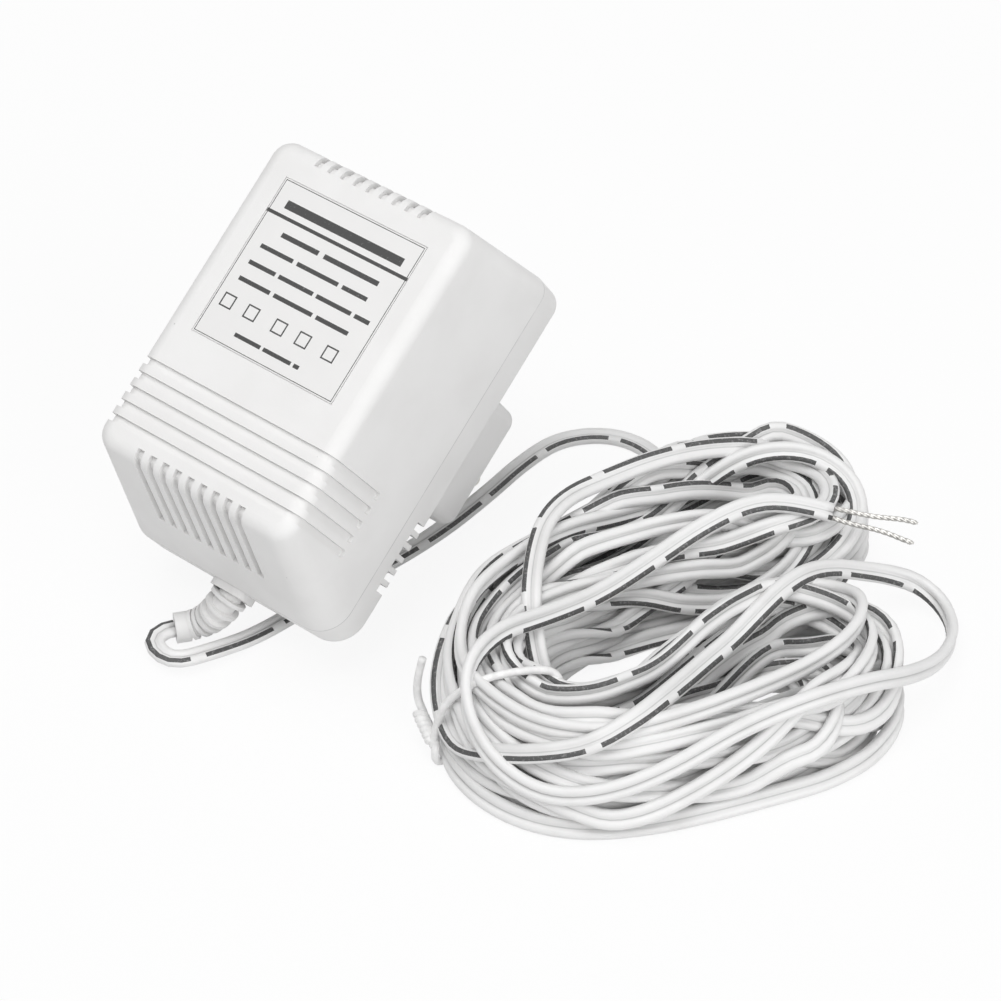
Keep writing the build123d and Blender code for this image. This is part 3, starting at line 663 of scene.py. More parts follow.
@dataclass
class Hank:
    """The tied hank: turns folded round a C-shaped middle line, laid on each other and settled.

    The last two turns lie loose on top. Their points are places on the table, the roll of the flat there,
    in degrees, at which -90 lays the printed face up, and the layer over the hank in which they start.
    """
    spine: tuple[tuple[float, float], ...] = (
        (84.0, 72.0), (74.0, 61.0), (61.0, 42.0), (51.5, 20.0), (47.6, 4.0), (48.2, -10.0), (55.0, -21.5),
        (67.0, -26.0), (79.0, -22.0), (88.0, -11.5), (95.5, 5.0), (101.5, 24.0), (107.5, 42.0))
    outer_widths: tuple[float, ...] = (10.5, 11.5, 11.0, 8.5, 7.5, 9.0, 11.0, 12.0, 11.0, 9.5)
    inner_widths: tuple[float, ...] = (15.0, 16.0, 15.0, 12.0, 9.0, 8.5, 9.5, 12.0, 12.5, 13.0)
    lane_gaps: tuple[float, ...] = (0.3, 0.15, 0.1, 0.25, 0.5)
    stations: tuple[float, ...] = (0.08, 0.3, 0.5, 0.7, 0.92)
    corner_turn: tuple[TopPoint, ...] = (
        (60.0, 63.0, -45.0, 1.0), (54.5, 52.5, -45.0, 2.0), (49.0, 42.5, -50.0, 3.0),
        (45.0, 32.5, -65.0, 4.0), (42.6, 24.0, -80.0, 4.0), (42.6, 15.5, -90.0, 4.0),
        (46.0, 7.0, -95.0, 4.0), (51.0, -2.0, -100.0, 4.0), (56.5, -9.5, -105.0, 1.0),
        (63.5, -13.0, -110.0, -4.0), (70.0, -10.0, -115.0, -7.0),
        (75.0, -2.5, -120.0, -6.0), (78.0, 3.5, -120.0, -4.0), (80.3, 9.5, -120.0, -2.0),
        (82.6, 16.0, -122.0, -1.0), (85.2, 22.5, -125.0, 0.0), (88.2, 28.5, -132.0, 0.0),
        (92.0, 34.0, -142.0, 0.0), (98.5, 38.0, -158.0, 1.0), (105.0, 36.0, -175.0, 1.0),
        (108.0, 28.0, -185.0, 1.0), (105.5, 17.5, -190.0, 1.0), (101.0, 5.0, -195.0, 1.0),
        (94.5, -8.0, -200.0, 1.0), (86.0, -20.0, -200.0, 1.0), (74.5, -28.0, -200.0, 1.0),
        (62.0, -29.5, -195.0, 1.0), (51.0, -24.0, -190.0, 1.0), (43.8, -12.0, -185.0, 1.0),
        (41.5, 3.0, -175.0, 1.0), (42.5, 18.0, -165.0, 1.0), (46.0, 34.0, -155.0, 1.0),
        (52.0, 47.0, -150.0, 1.0), (60.0, 58.5, -145.0, 1.0), (69.5, 65.5, -135.0, 1.0),
        (79.0, 67.0, -115.0, 1.0), (86.0, 62.5, -95.0, 1.0))
    loose_turn: tuple[TopPoint, ...] = (
        (87.0, 54.5, -75.0, 0.0), (82.0, 45.0, -60.0, -3.0), (74.0, 35.0, -55.0, -6.0),
        (65.0, 25.0, -55.0, -8.0), (56.5, 15.0, -60.0, -8.0), (49.0, 4.5, -65.0, -8.0),
        (44.5, -7.0, -70.0, -7.0), (45.0, -18.0, -80.0, -5.0), (50.0, -26.5, -92.0, -2.0),
        (58.5, -31.8, -105.0, 2.0), (68.5, -33.0, -110.0, 5.0), (77.5, -30.8, -115.0, 6.0),
        (85.0, -25.0, -115.0, 6.0), (89.0, -15.5, -117.0, 6.0), (89.2, -8.0, -118.0, 6.0),
        (88.8, -0.5, -120.0, 6.0), (88.2, 7.0, -120.0, 6.0), (87.8, 14.5, -120.0, 6.0),
        (88.0, 22.0, -121.0, 6.0), (89.0, 29.0, -122.0, 6.0), (90.5, 36.0, -124.0, 6.0),
        (92.3, 43.0, -126.0, 6.0), (94.3, 49.8, -129.0, 5.0), (97.2, 56.0, -134.0, 4.0),
        (102.0, 60.8, -145.0, 3.0), (108.5, 60.8, -160.0, 2.0), (114.8, 55.2, -175.0, 2.0),
        (118.0, 44.5, -185.0, 2.0), (116.8, 32.5, -192.0, 3.0), (113.2, 21.0, -197.0, 4.0),
        (108.5, 8.5, -200.0, 5.0), (103.0, -3.5, -200.0, 5.0), (96.5, -17.0, -200.0, 6.0),
        (89.0, -27.5, -198.0, 6.0), (79.5, -33.0, -195.0, 6.0), (69.0, -34.8, -193.0, 6.0),
        (59.5, -32.0, -185.0, 7.0), (54.5, -25.0, -170.0, 7.0), (54.5, -15.5, -155.0, 7.0),
        (57.5, -4.5, -140.0, 7.0), (60.3, 8.5, -130.0, 7.0), (63.0, 21.5, -122.0, 7.0),
        (67.0, 34.0, -120.0, 7.0), (72.8, 44.0, -120.0, 7.0), (78.8, 50.0, -120.0, 7.0),
        (85.0, 53.5, -120.0, 7.0))
    turns: int = 17
    lane_step: float = 0.618
    back_step: float = 0.43
    flip_share: float = 0.4
    flip_stations: tuple[float, float] = (0.28, 0.44)
    lane_sway: float = 0.08
    near_reach: tuple[float, float] = (-16.0, -3.0)
    far_reach: tuple[float, float] = (-23.0, 1.0)
    fold_radius: tuple[float, float] = (10.0, 15.0)
    entry_share: float = 0.33
    step: float = 4.0
    rise: float = 1.4
    first_height: float = 2.0
    blend_length: float = 34.0
    line_resolution: int = 24
    seed: int = 7

    def all_turns(self) -> list[Turn]:
        """Turns of different size, lane and reach, in the order of winding; lanes step by a golden share."""
        random = np.random.default_rng(self.seed)
        made = []
        gaps = np.array(self.lane_gaps)
        for index in range(self.turns):
            out = gaps + (1 - gaps) * ((index * self.lane_step) % 1.0)
            back = gaps + (1 - gaps) * ((index * self.lane_step + self.back_step) % 1.0)
            sway = random.uniform(-self.lane_sway, self.lane_sway, (2, len(self.stations)))
            near_reach, far_reach = random.uniform(*self.near_reach), random.uniform(*self.far_reach)
            near_radius, far_radius = random.uniform(*self.fold_radius, 2)
            flipped = random.uniform() < self.flip_share
            made.append(Turn(tuple(out + sway[0]), tuple(sway[1] - back),
                             near_reach, far_reach, near_radius, far_radius, flipped))
        return made

    def strip_to_plan(self, along: np.ndarray, across: np.ndarray, line: np.ndarray) -> np.ndarray:
        """Places on the table of points given along and across the middle line.

        Args:
            along: Distance along the line, which may run past its ends.
            across: Distance outwards from it.
            line: Fine points of the line.

        Returns:
            Two numbers for each point.
        """
        lengths = path_lengths(line)
        heading = directions(line[:, :2])
        inside = np.clip(along, 0, lengths[-1])
        place = np.column_stack([np.interp(inside, lengths, line[:, axis]) for axis in (0, 1)])
        ahead = unit(np.column_stack([np.interp(inside, lengths, heading[:, axis]) for axis in (0, 1)]))
        outward = np.column_stack((ahead[:, 1], -ahead[:, 0]))
        return place + (along - inside)[:, None] * ahead + across[:, None] * outward

    def lane(self, along: np.ndarray, lanes: Sequence[float], total: float) -> np.ndarray:
        """Distance across the hank of a run that follows its lanes."""
        share = np.clip(along / total, 0, 1)
        marks = np.linspace(0, 1, len(self.outer_widths))
        across = eased(share, self.stations, lanes)
        outer, inner = eased(share, marks, self.outer_widths), eased(share, marks, self.inner_widths)
        return across * np.where(across > 0, outer, inner)

    def run(self, begin: float, end: float, edges: tuple[float, float], lanes: Sequence[float],
            total: float) -> np.ndarray:
        """One run of a turn, from fold to fold, easing from the folds' edges into its lanes.

        Args:
            begin: Where it starts along the line.
            end: Where it stops.
            edges: Distance across at its start and its stop.
            lanes: Its lanes at the stations.
            total: Length of the line.

        Returns:
            Rows of along and across.
        """
        along = np.linspace(begin, end, max(4, round(abs(end - begin) / self.step)))
        away = np.minimum(abs(along - begin), abs(along - end))
        ease = s_curve(np.clip(away / self.blend_length, 0, 1))
        nearer = np.where(abs(along - begin) < abs(along - end), edges[0], edges[1])
        across = nearer + ease * (self.lane(along, lanes, total) - nearer)
        return np.column_stack((along, across))

    def fold(self, apex: float, radius: float, forward: float) -> np.ndarray:
        """Half circle at an end of a turn, forward 1 at the far end and -1 at the near end."""
        angle = np.linspace(0, math.pi, max(6, round(math.pi * radius / self.step)))[1:-1]
        along = apex + forward * radius * (np.sin(angle) - 1)
        return np.column_stack((along, forward * radius * np.cos(angle)))

    def top_turns(self) -> np.ndarray:
        """The two turns that lie loose on top: rows of place, place, roll and layer."""
        return np.array(self.corner_turn + self.loose_turn)

    def wind(self) -> tuple[np.ndarray, np.ndarray]:
        """All turns one after the other, each a little higher than the one below.

        Returns:
            Control points in millimetres, before they settle, and the half turns of twist at each.
        """
        flat = np.column_stack((np.array(self.spine), np.zeros(len(self.spine))))
        line = spline_points(flat, self.line_resolution)
        total = path_lengths(line)[-1]
        strips, twists = [], []
        turns = self.all_turns()
        begin = self.entry_share * total
        start_edge = self.lane(np.array((begin,)), turns[0].out_lanes, total)[0]
        for turn in turns:
            near, far = -turn.near_reach, total + turn.far_reach
            strips.append(self.run(begin, far - turn.far_radius, (start_edge, turn.far_radius),
                                   turn.out_lanes, total))
            strips.append(self.fold(far, turn.far_radius, 1.0))
            begin, start_edge = near + turn.near_radius, turn.near_radius
            twists.append(np.zeros(len(strips[-2]) + len(strips[-1])))
            strips.append(self.run(far - turn.far_radius, begin, (-turn.far_radius, -start_edge),
                                   turn.back_lanes, total))
            twists.append(turn.flipped * eased(strips[-1][:, 0] / total, self.flip_stations, (1.0, 0.0)))
            strips.append(self.fold(near, turn.near_radius, -1.0))
            twists.append(turn.flipped * np.linspace(1.0, 0.0, len(strips[-1])))
        strip = np.concatenate(strips)
        plan = self.strip_to_plan(strip[:, 0], strip[:, 1], line)
        top = self.top_turns()
        wound = np.linspace(0, self.turns, len(plan))
        layers = np.concatenate((wound, self.turns + top[:, 3]))
        height = self.first_height + self.rise * layers
        placed = np.column_stack((np.concatenate((plan, top[:, :2])), height))
        return placed, np.concatenate((*twists, np.zeros(len(top))))


@dataclass
class Settling:
    """Lets the wound turns sink onto each other: each step they drop, push apart and keep their spacing."""
    half_width: float = 2.0
    half_thick: float = 1.02
    near: float = 10.0
    skip: int = 5
    reach_share: float = 0.8
    steps: int = 640
    refresh: int = 10
    drop: float = 0.15
    last_drop: float = 0.026
    push: float = 0.3
    stiffness: Triple = (0.2, 0.2, 0.09)
    stretch: float = 0.25
    hold: float = 0.018
    top_hold: float = 0.05
    table_hold: float = 0.06
    table_reach: float = 4.0
    slack: float = 1.04
    spacing: float = 4.0
    loose_share: float = 1.5
    table_gap: float = 0.25
    parallel_slack: float = 0.05

    def radius(self, direction: np.ndarray, flat: np.ndarray) -> np.ndarray:
        """Reach of the oval section in a direction, from its axis across the flat."""
        cosine = np.sum(direction * flat, axis=1) ** 2
        return self.half_width * self.half_thick / np.sqrt(
            self.half_thick ** 2 * cosine + self.half_width ** 2 * (1 - cosine) + 1e-9)

    def pairs(self, points: np.ndarray) -> tuple[np.ndarray, np.ndarray]:
        """Pairs of points that lie near each other but not along the same short stretch."""
        fine = points.astype(np.float32)
        square = np.sum(fine * fine, axis=1)
        apart = square[:, None] + square[None] - 2 * fine @ fine.T
        first, second = np.nonzero(np.triu(apart < self.near ** 2, self.skip))
        return first, second

    def apply(self, points: np.ndarray, roll: np.ndarray, free: np.ndarray, tie: "TwistTie") -> np.ndarray:
        """Settles the points.

        Args:
            points: Control points in millimetres.
            roll: How far the flat leans at each of them.
            free: 1 where a point may move and 0 where it is held.
            tie: The tie, on whose lower side the cord lies.

        Returns:
            The settled points.
        """
        shape = points.copy()
        placed = points.copy()
        rest = np.linalg.norm(np.diff(points[:, :2], axis=0), axis=1)
        longest = np.concatenate((rest[:1], np.maximum(rest[1:], rest[:-1]), rest[-1:]))
        reach = self.reach_share * longest
        stiffness = np.outer(np.minimum(1, (self.spacing / longest) ** 2), self.stiffness)
        top = longest > self.loose_share * self.spacing
        loose = rest > self.loose_share * self.spacing
        rest = np.where(loose, self.slack, 1.0) * rest
        for step in range(self.steps):
            if step % self.refresh == 0:
                tangents = directions(placed)
                flats = rolled_axis(tangents, roll)
                first, second = self.pairs(placed)
                lowest = self.table_gap + tie.sill(placed) + np.sqrt(
                    (self.half_width * flats[:, 2]) ** 2 + self.half_thick ** 2 * (1 - flats[:, 2] ** 2))
            moves = self.contact(placed, tangents, flats, (first, second), reach)
            ease = 1 - step / self.steps
            moves[:, 2] -= self.drop * ease ** 2 + self.last_drop
            hold = np.where(top, self.top_hold, self.hold)
            hold = hold + self.table_hold * np.exp(-placed[:, 2] / self.table_reach)
            moves[:, :2] += hold[:, None] * (shape - placed)[:, :2]
            moves += tie.squeeze(placed)
            placed = placed + moves * free[:, None]
            shift = placed - shape
            bend = np.zeros_like(shift)
            bend[1:-1] = shift[:-2] - 2 * shift[1:-1] + shift[2:]
            placed = placed + stiffness * bend * free[:, None]
            edges = np.diff(placed, axis=0)
            lengths = np.linalg.norm(edges, axis=1)
            strain = 1 - rest / np.maximum(lengths, 1e-6)
            pull = (self.stretch * np.where(loose, np.maximum(strain, 0), strain))[:, None] * edges
            placed[:-1] += pull * free[:-1, None]
            placed[1:] -= pull * free[1:, None]
            placed[:, 2] = np.where(free > 0, np.maximum(placed[:, 2], lowest), placed[:, 2])
        return placed

    def contact(self, points: np.ndarray, tangents: np.ndarray, flats: np.ndarray,
                pairs: tuple[np.ndarray, np.ndarray], reach: np.ndarray) -> np.ndarray:
        """Moves that push touching strands apart along the shortest line between them.

        Args:
            points: Where the points are.
            tangents: Direction of the cord at each.
            flats: Axis across the flat at each.
            pairs: The two points of each near pair.
            reach: How far along the cord each point stands for it.

        Returns:
            A move for each point.
        """
        first, second = pairs
        gap = points[second] - points[first]
        one, two = tangents[first], tangents[second]
        slide_one = np.sum(gap * one, axis=1)
        slide_two = np.sum(gap * two, axis=1)
        cross = two - np.sum(one * two, axis=1)[:, None] * one
        spread = np.sum(cross * cross, axis=1) + self.parallel_slack
        line = gap - slide_one[:, None] * one
        line = line - (np.sum(line * cross, axis=1) / spread)[:, None] * cross
        length = np.linalg.norm(line, axis=1)
        way = line / np.maximum(length, 1e-6)[:, None]
        need = self.radius(way, flats[first]) + self.radius(way, flats[second])
        beside = (abs(slide_one) < reach[first]) & (abs(slide_two) < reach[second])
        push = np.where(beside, np.maximum(need - length, 0), 0)[:, None] * way * self.push
        total = [np.bincount(second, push[:, axis], len(points))
                 - np.bincount(first, push[:, axis], len(points)) for axis in range(3)]
        return np.column_stack(total)


@dataclass
class TwistTie:
    """Thin coated wire round the hank's near bend: a snug loop, its ends twisted together, and a tail.

    Places are in millimetres. The twist and the tail go back along the bundle, outwards and up.
    """
    outside: tuple[float, float] = (55.0, -30.5)
    hole: tuple[float, float] = (66.5, -17.5)
    radius: float = 0.8
    clear: float = 2.3
    slab: float = 2.6
    middle: float = 8.0
    meet_height: float = 6.5
    twist_reach: Triple = (7.0, 1.6, 1.6)
    tail_reach: tuple[Triple, ...] = (
        (9.0, 1.8, 4.0), (10.0, 1.6, 8.5), (10.2, 0.4, 13.5))
    twist_turns: float = 3.0
    twist_start: float = 0.06
    twist_room: float = 1.02
    twist_points: int = 36
    loop_points: int = 73
    smoothing: int = 6
    sill_length: float = 5.0
    grip: float = 0.012
    grip_length: float = 10.0
    grip_reach: float = 14.0
    corners: int = 10
    resolution: int = 6
    spacing: float = 0.5

    def axes(self) -> tuple[np.ndarray, np.ndarray, np.ndarray]:
        """Middle of the loop on the table, the level axis towards the hole and the axis along the bundle."""
        ends = np.array(((*self.outside, 0.0), (*self.hole, 0.0)))
        across = unit(ends[1] - ends[0])
        return ends.mean(axis=0), across, np.cross(UP, across)

    def sill(self, points: np.ndarray) -> np.ndarray:
        """Height of the tie's lower side under each point: its thickness, falling off along the bundle."""
        centre, across, along = self.axes()
        ends = np.array((*self.hole, 0.0)) - centre
        inside = np.abs((points - centre) @ across) < np.dot(ends, across) + self.radius
        away = (points - centre) @ along / self.sill_length
        return np.where(inside, 2 * self.radius * np.exp(-away ** 2), 0.0)

    def squeeze(self, points: np.ndarray) -> np.ndarray:
        """Pull of the tie: a share of the way to the loop's middle, falling off along the bundle."""
        centre, across, along = self.axes()
        level = (points - centre) @ across
        away = (points - centre) @ along / self.grip_length
        pull = self.grip * np.exp(-away ** 2 - (level / self.grip_reach) ** 4)
        return -np.outer(pull * level, across) - np.outer(pull * (points[:, 2] - self.middle), UP)

    def loop(self, path: np.ndarray) -> np.ndarray:
        """Snug loop round the strands that pass through its plane.

        The strands' reach in each direction, smoothed, is a support function h of the angle. The loop is
        h times the direction plus the slope of h times the direction at a right angle to it.

        Args:
            path: The cord's settled path.

        Returns:
            Points of the loop, from its outer side over the top, down the hole and back underneath.
        """
        centre, across, along = self.axes()
        level = (path - centre) @ across
        height = path[:, 2] - self.middle
        half = np.linalg.norm(np.subtract(self.hole, self.outside)) / 2 + 2 * self.radius
        held = (np.abs((path - centre) @ along) < self.slab) & (np.abs(level) < half)
        angle = np.linspace(math.pi, -math.pi, self.loop_points)
        reach = np.outer(np.cos(angle), level[held]) + np.outer(np.sin(angle), height[held])
        support = reach.max(axis=1)[:-1] + self.clear
        for _ in range(self.smoothing):
            support = (np.roll(support, 1) + 2 * support + np.roll(support, -1)) / 4
        slope = (np.roll(support, -1) - np.roll(support, 1)) / (2 * (angle[1] - angle[0]))
        turn = angle[:-1]
        out = support * np.cos(turn) - slope * np.sin(turn)
        up = np.maximum(support * np.sin(turn) + slope * np.cos(turn) + self.middle, self.radius)
        start = np.argmin(np.where(out < 0, np.abs(up - self.meet_height), np.inf))
        out, up = np.roll(out, -start), np.roll(up, -start)
        shift = np.linspace(self.radius, -self.radius, len(out))
        return centre + np.outer(out, across) + np.outer(up, UP) + np.outer(shift, along)

    def build(self, path: np.ndarray) -> bpy.types.Object:
        """Builds the tie as one round tube: end, twist, loop, twist and tail.

        Args:
            path: The cord's settled path.

        Returns:
            The tie.
        """
        _, across, along = self.axes()
        loop = self.loop(path)
        meet = (loop[0] + loop[-1]) / 2
        basis = np.array((along, -across, UP))
        share = np.linspace(self.twist_start, 1.0, self.twist_points)[:, None]
        axis = meet + share * (np.array(self.twist_reach) @ basis)
        angle = 2 * math.pi * self.twist_turns * share
        swing = self.radius * self.twist_room * (np.cos(angle) * across + np.sin(angle) * UP)
        tail = meet + np.array(self.tail_reach) @ basis
        route = np.concatenate(((axis - swing)[::-1], loop[1:-1], axis + swing, tail))
        line = even_points(spline_points(route, self.resolution), self.spacing)[0]
        tangents = directions(line)
        first = unit(np.cross(np.broadcast_to(along, tangents.shape), tangents))
        corner = np.linspace(0, 2 * math.pi, self.corners, endpoint=False)
        outline = self.radius * np.column_stack((np.cos(corner), np.sin(corner)))
        tie = carry_section("wire_tie", line, first, np.cross(tangents, first), outline)
        tie.data.materials.append(PlainInsulation("tie_white", grey(0.78, 0.003), 0.45).make())
        log.info("tie %.0f mm long", path_lengths(line)[-1])
        return tie


@dataclass
class FlatTwinCord:
    """The white flat twin cord: the free run from the strain relief, the hank and the tail on one spline."""
    run_points: tuple[Triple, ...] = (
        (-8.6, -38.8, 3.12), (-10.5, -41.1, 3.12), (-9.1, -45.2, 3.12), (-2.7, -46.2, 3.12),
        (1.5, -39.0, 3.12), (4.2, -29.0, 1.1), (6.8, -15.5, 1.1), (10.8, -0.5, 1.1), (14.0, 15.5, 1.1),
        (14.8, 31.0, 1.1), (14.6, 44.5, 1.1), (16.4, 55.4, 1.1), (25.4, 63.6, 1.1), (37.6, 63.2, 1.1),
        (41.0, 52.4, 1.1), (36.6, 40.5, 1.1), (32.2, 29.5, 1.1), (32.8, 20.0, 1.5), (34.9, 13.6, 3.2))
    length: float = 8000.0
    width: float = 4.2
    core_radius: float = 1.05
    core_offset: float = 1.0
    core_corners: int = 8
    resolution: int = 8
    spacing: float = 2.0
    lean_deg: float = 42.0
    lean_sway_deg: float = 9.0
    lean_towards: tuple[float, float] = (-0.62, 0.78)
    flat_roll_deg: float = -90.0
    sway_points: int = 14
    roll_blend: int = 10
    roll_seed: int = 11
    hank: Hank = field(default_factory=Hank)
    tie: TwistTie = field(default_factory=TwistTie)
    settling: Settling = field(default_factory=Settling)
    finish: CordJacket = CordJacket()

    def section(self) -> np.ndarray:
        """Two touching circles side by side, as one outline: each is a round from waist to waist."""
        waist = math.pi - math.acos(self.core_offset / self.core_radius)
        angle = np.linspace(-waist, waist, self.core_corners + 1)[:-1]
        right = np.column_stack((self.core_offset + self.core_radius * np.cos(angle),
                                 self.core_radius * np.sin(angle)))
        return np.concatenate((right, -right))

    def rolls(self, points: np.ndarray, held: int, twist: np.ndarray) -> np.ndarray:
        """How far the flat leans: level on the free run, leaning one way over the hank, as given on top.

        Args:
            points: Control points.
            held: How many of them are the free run's.
            twist: Half turns of twist at the hank's points.

        Returns:
            The roll at each point, in radians.
        """
        random = np.random.default_rng(self.roll_seed)
        number = np.arange(len(points))
        knots = np.arange(0, len(points) + self.sway_points, self.sway_points)
        sway = np.interp(number, knots, random.uniform(-1, 1, len(knots)))
        lean = np.radians(self.lean_deg + self.lean_sway_deg * sway)
        side = side_axis(directions(points))
        towards = side[:, :2] @ np.array(self.lean_towards)
        hank_roll = np.arctan2(np.sin(lean) * towards, np.cos(lean))
        hank_roll[held:] -= math.pi * twist
        top = np.radians(self.hank.top_turns()[:, 2])
        share = np.clip((number - held) / self.roll_blend, 0, 1)
        roll = (1 - share) * math.radians(self.flat_roll_deg) + share * hank_roll
        begin = len(points) - len(top)
        until = np.clip((begin - number) / self.roll_blend, 0, 1)
        roll = until * roll + (1 - until) * top[0]
        roll[begin:] = top
        return roll

    def build(self) -> tuple[bpy.types.Object, np.ndarray, np.ndarray, np.ndarray]:
        """Builds the cord.

        Returns:
            The cord, its path in millimetres, the axis across its flat along the path, and the path
            without the turns on top.
        """
        run = np.array(self.run_points)
        turns, twist = self.hank.wind()
        wound = np.concatenate((run, turns))
        held = len(run)
        free = (np.arange(len(wound)) >= held).astype(float)
        settled = self.settling.apply(wound, self.rolls(wound, held, twist), free, self.tie)
        roll = self.rolls(settled, held, twist)
        fine = spline_points(settled, self.resolution)
        share = np.linspace(0, len(settled) - 2, len(fine)) + 0.5
        roll = np.interp(share, np.arange(len(settled)), roll)
        path, roll = even_points(fine, self.spacing, roll)
        tangents = directions(path)
        flat = rolled_axis(tangents, roll)
        cord = carry_section("flat_twin_cord", path, flat, np.cross(tangents, flat), self.section())
        cord.data.materials.append(self.finish.make())
        log.info("cord %.0f mm long, top at %.1f mm", path_lengths(path)[-1], path[:, 2].max())
        tied = spline_points(settled[:len(settled) - len(self.hank.top_turns())], self.resolution)
        return cord, path, flat, tied


@dataclass
class BareEnds:
    """The two stripped ends: fine tinned strands twisted together, tapering to a loose tip."""
    radius: float = 0.5
    length: float = 17.0
    spread_deg: float = 3.0
    lie: Triple = (0.9, 0.42, -0.1)
    bend_share: float = 0.4
    strands: int = 3
    lay: float = 4.0
    apart: float = 1.0
    lobe_depth: float = 0.35
    lobe_root: float = 0.8
    tip_share: float = 0.04
    tip_least: float = 0.25
    wave: float = 0.35
    wave_swing: float = 7.0
    rows: int = 120
    columns: int = 42

    def build(self, place: np.ndarray, heading: np.ndarray, flat: np.ndarray) -> list[bpy.types.Object]:
        """Builds both ends as lobed rods: the radius swells once for each strand and the lobes wind round.

        Args:
            place: End of the cord's jacket.
            heading: Its direction there.
            flat: Axis across its flat.

        Returns:
            The two pieces.
        """
        made = []
        along = np.linspace(0, 1, self.rows)
        angle = np.linspace(0, 2 * math.pi, self.columns, endpoint=False)
        twist = 2 * math.pi * along[:, None] * self.length / self.lay
        lobes = 1 + self.lobe_depth * np.abs(np.cos((angle[None] - twist) * self.strands / 2))
        taper = np.clip((1 - along[:, None]) / self.tip_share, self.tip_least, 1) ** 0.5
        reach = self.radius * self.lobe_root * lobes * taper
        outline = np.stack((reach * np.cos(angle), reach * np.sin(angle)), axis=-1)
        finish = PlatedMetal("tinned_strands", (0.55, 0.54, 0.52, 1.0), 0.34, 0.12).make()
        over = eased(along, (0.0, self.bend_share, 1.0), (0.0, 1.0, 1.0))[:, None]
        way = unit((1 - over) * heading + over * np.array(self.lie))
        line = np.cumsum(way, axis=0) * self.length / self.rows
        for name, side in (("bare_strands_a", 1.0), ("bare_strands_b", -1.0)):
            spread = math.tan(math.radians(self.spread_deg)) * self.length * along
            wave = self.wave * np.sin(along * self.wave_swing + side) * along
            centres = place + line + (side * (self.apart + spread) + wave)[:, None] * flat
            ahead = directions(centres)
            first = unit(flat - np.sum(flat * ahead, axis=1)[:, None] * ahead)
            end = carry_section(name, centres, first, np.cross(ahead, first), outline)
            end.data.materials.append(finish)
            made.append(end)
            log.info("%s %.0f mm long", name, self.length)
        return made


# Nodes that keep their shape

@dataclass
class Dressing:
    """Gives finishes to the nodes that keep the shape of the frame."""
    finishes: dict[str, Any]

    def apply(self) -> None:
        """Puts each finish on its nodes."""
        made: dict[str, bpy.types.Material] = {}
        for node, finish in self.finishes.items():
            if finish.name not in made:
                made[finish.name] = finish.make()
            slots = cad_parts[node].material_slots
            for slot in slots:
                slot.link = "OBJECT"
                slot.material = made[finish.name]
            log.info("dressed %s", node)


# Stage

class Ray(Enum):
    """Kinds of ray that see the plain white background."""
    CAMERA = "Is Camera Ray"
    GLOSSY = "Is Glossy Ray"
    TRANSMISSION = "Is Transmission Ray"


@dataclass(frozen=True)
class Lamp:
    """A square soft lamp: where it hangs and its side, in metres, and its power in watts."""
    name: str
    place: Triple
    size: float
    power: float


